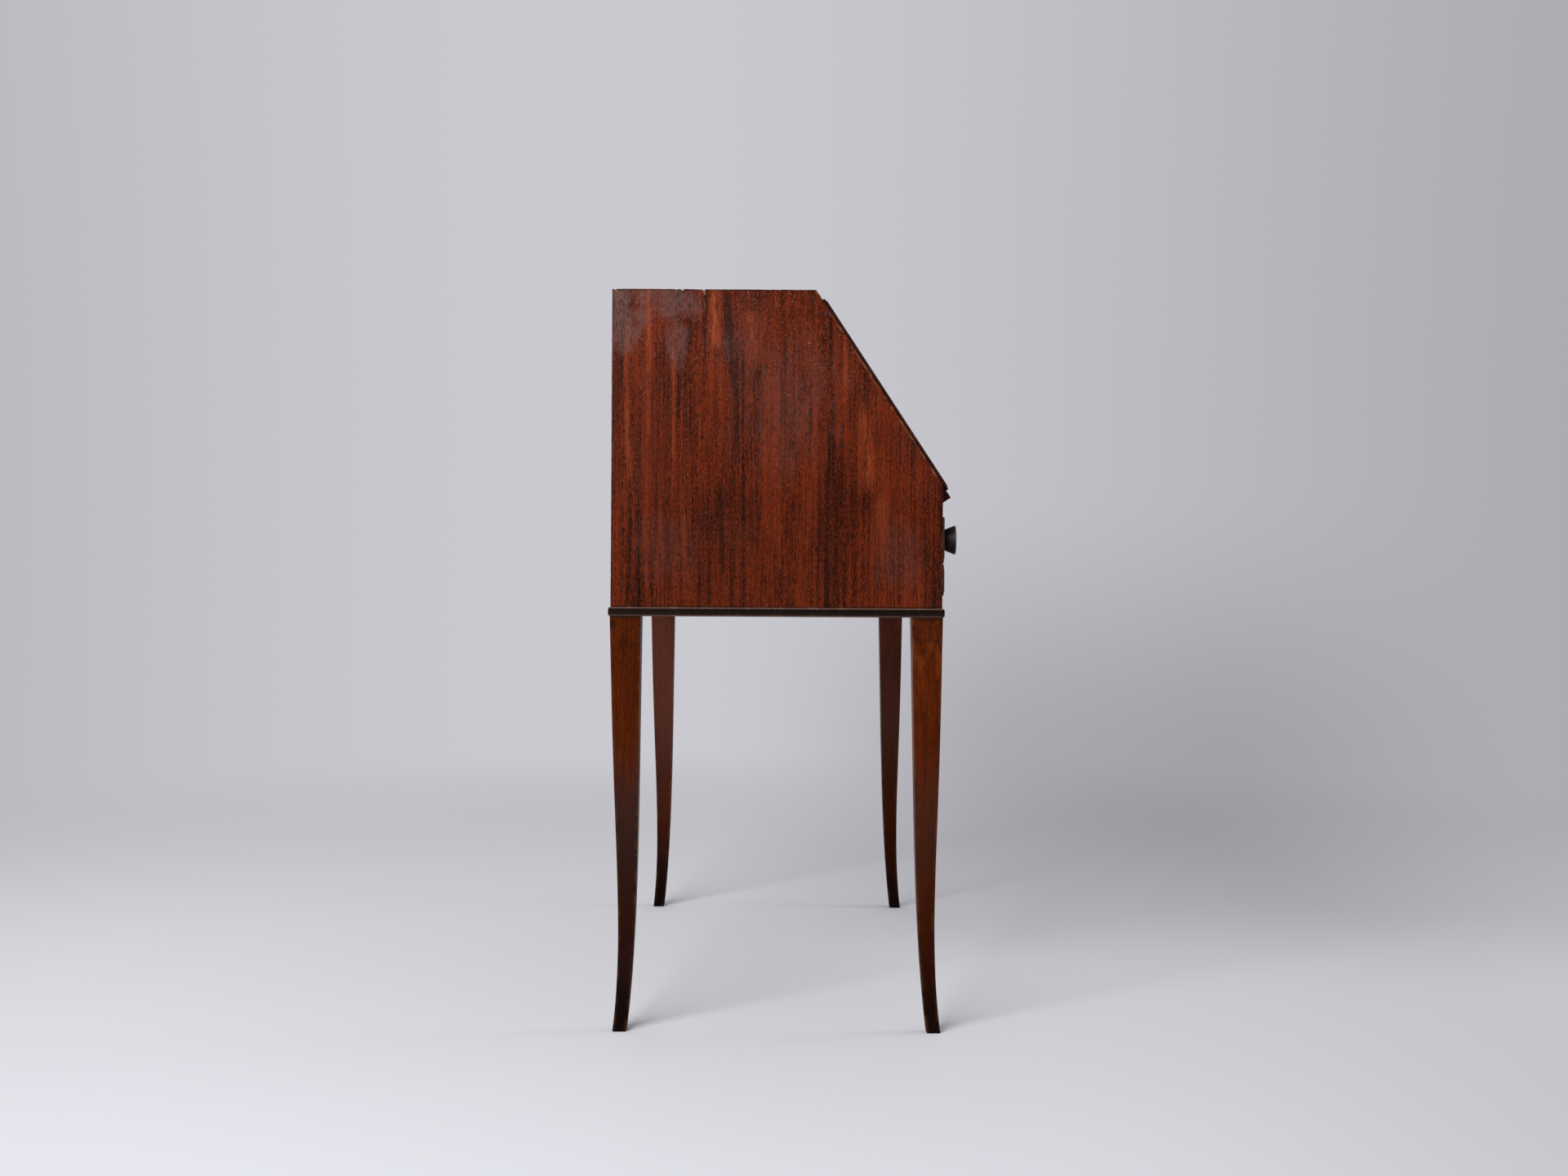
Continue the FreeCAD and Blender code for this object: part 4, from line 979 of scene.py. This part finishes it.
wire(tree, shader.inputs["Alpha"], times(tree, ramp(tree, from_middle, *FLOOR_FADE), from_above))
across, depth, _ = axes(tree, place)
# Painted light: the paper is paler away from the camera, making up for the key lamp's falloff.
paper_with_painted_light = blend(tree, ramp(tree, across, *FLOOR_PAINTED_LIGHT_ACROSS), tint(242, 243, 248), tint(251, 252, 255))
# Painted shadow: the desk's soft shadow greys the floor in front of it, most on its far side.
painted_shadow = ramp(tree, times(tree, depth, -1.0), *FLOOR_SHADOW_AHEAD)
painted_shadow = times(tree, painted_shadow, ramp(tree, across, *FLOOR_SHADOW_ACROSS))
wire(tree, shader.inputs["Base Color"], blend(tree, painted_shadow, paper_with_painted_light, tint(205, 204, 208)))
shader.inputs["Roughness"].default_value = FLOOR_ROUGH
shader.inputs["Specular IOR Level"].default_value = 0.0
floor_mesh.materials.append(paper)

SURROUND = tint(190, 189, 195)
SURROUND_LEVEL = 0.77
SURROUND_DIM = (-0.9, 0.2, 0.7, 1.0)
AMBIENT = 0.78
GLOW_MIDDLE = 0.1
GLOW_SPREAD = (0.0, 0.62, 0.38, 0.0)
GLOW_ACROSS = (-0.2, 0.6)
SHADOW_MIDDLE = -0.18
SHADOW_SPREAD = (0.04, 0.22, 0.26, 0.0)
SHADOW_UP = (-0.13, 0.03, 1.0, 0.0)
SHADOW_ACROSS = (0.3, 0.8)
world = bpy.data.worlds.new("studio_surround")
world.use_nodes = True
bpy.context.scene.world = world
tree = world.node_tree
across, depth, up = axes(tree, tree.nodes.new("ShaderNodeTexCoord").outputs["Generated"])
glow = reckon(tree, "ABSOLUTE", reckon(tree, "SUBTRACT", depth, GLOW_MIDDLE))
glow = times(tree, ramp(tree, glow, *GLOW_SPREAD), ramp(tree, across, *GLOW_ACROSS))
shadow = reckon(tree, "ABSOLUTE", reckon(tree, "SUBTRACT", depth, SHADOW_MIDDLE))
shadow = times(tree, ramp(tree, shadow, *SHADOW_SPREAD), ramp(tree, up, *SHADOW_UP))
shadow = times(tree, shadow, ramp(tree, across, *SHADOW_ACROSS))
seen = times(tree, reckon(tree, "ADD", glow, SURROUND_LEVEL), ramp(tree, across, *SURROUND_DIM))
seen = times(tree, seen, reckon(tree, "SUBTRACT", 1.0, shadow))
rays = tree.nodes.new("ShaderNodeLightPath").outputs
direct = reckon(tree, "MAXIMUM", rays["Is Camera Ray"], rays["Is Glossy Ray"])
direct = reckon(tree, "MAXIMUM", direct, rays["Is Transmission Ray"])
strength = times(tree, seen, ramp(tree, direct, 0.0, 1.0, AMBIENT, 1.0))
shade = tree.nodes["Background"]
shade.inputs["Color"].default_value = SURROUND
wire(tree, shade.inputs["Strength"], strength)

LAMP_AIM = Vector((0.0, 0.0, 0.6))
KEY_PLACE = (-3.3, 1.9, 2.4)
KEY_SIZE, KEY_POWER = 2.6, 140
FILL_PLACE = (0.2, -3.4, 0.62)
FILL_SIZE, FILL_POWER = 1.1, 40


def softbox(name, stand, size, power):
    """A square soft lamp at its stand, aimed at the middle of the desk."""
    lamp = bpy.data.lights.new(name, "AREA")
    lamp.shape = "SQUARE"
    lamp.size = size
    lamp.energy = power
    holder = bpy.data.objects.new(name, lamp)
    bpy.context.scene.collection.objects.link(holder)
    holder.location = stand
    holder.visible_camera = False
    holder.rotation_euler = (LAMP_AIM - Vector(stand)).to_track_quat("-Z", "Y").to_euler()


softbox("key_softbox", KEY_PLACE, KEY_SIZE, KEY_POWER)
softbox("fill_softbox", FILL_PLACE, FILL_SIZE, FILL_POWER)

CAMERA_PLACE = (-2.945, 0.0074, 0.698)
CAMERA_ROLL = math.radians(0.33)
CAMERA_LENS = 41.695
CAMERA_SENSOR = 36
PICTURE_WIDE_PX = 1920
SHIFT_RIGHT_PX = 7
SHIFT_UP_PX = -72
camera_data = bpy.data.cameras.new("camera")
camera_data.sensor_width = CAMERA_SENSOR
camera_data.lens = CAMERA_LENS
camera_data.shift_x = SHIFT_RIGHT_PX / PICTURE_WIDE_PX
camera_data.shift_y = SHIFT_UP_PX / PICTURE_WIDE_PX
camera = bpy.data.objects.new("camera", camera_data)
bpy.context.scene.collection.objects.link(camera)
look = Matrix(((0, 0, -1), (-1, 0, 0), (0, 1, 0)))
camera.matrix_world = (Matrix.Translation(CAMERA_PLACE) @ look.to_4x4()
                       @ Matrix.Rotation(CAMERA_ROLL, 4, "Z"))
bpy.context.scene.camera = camera
bpy.context.scene.view_settings.view_transform = "Standard"
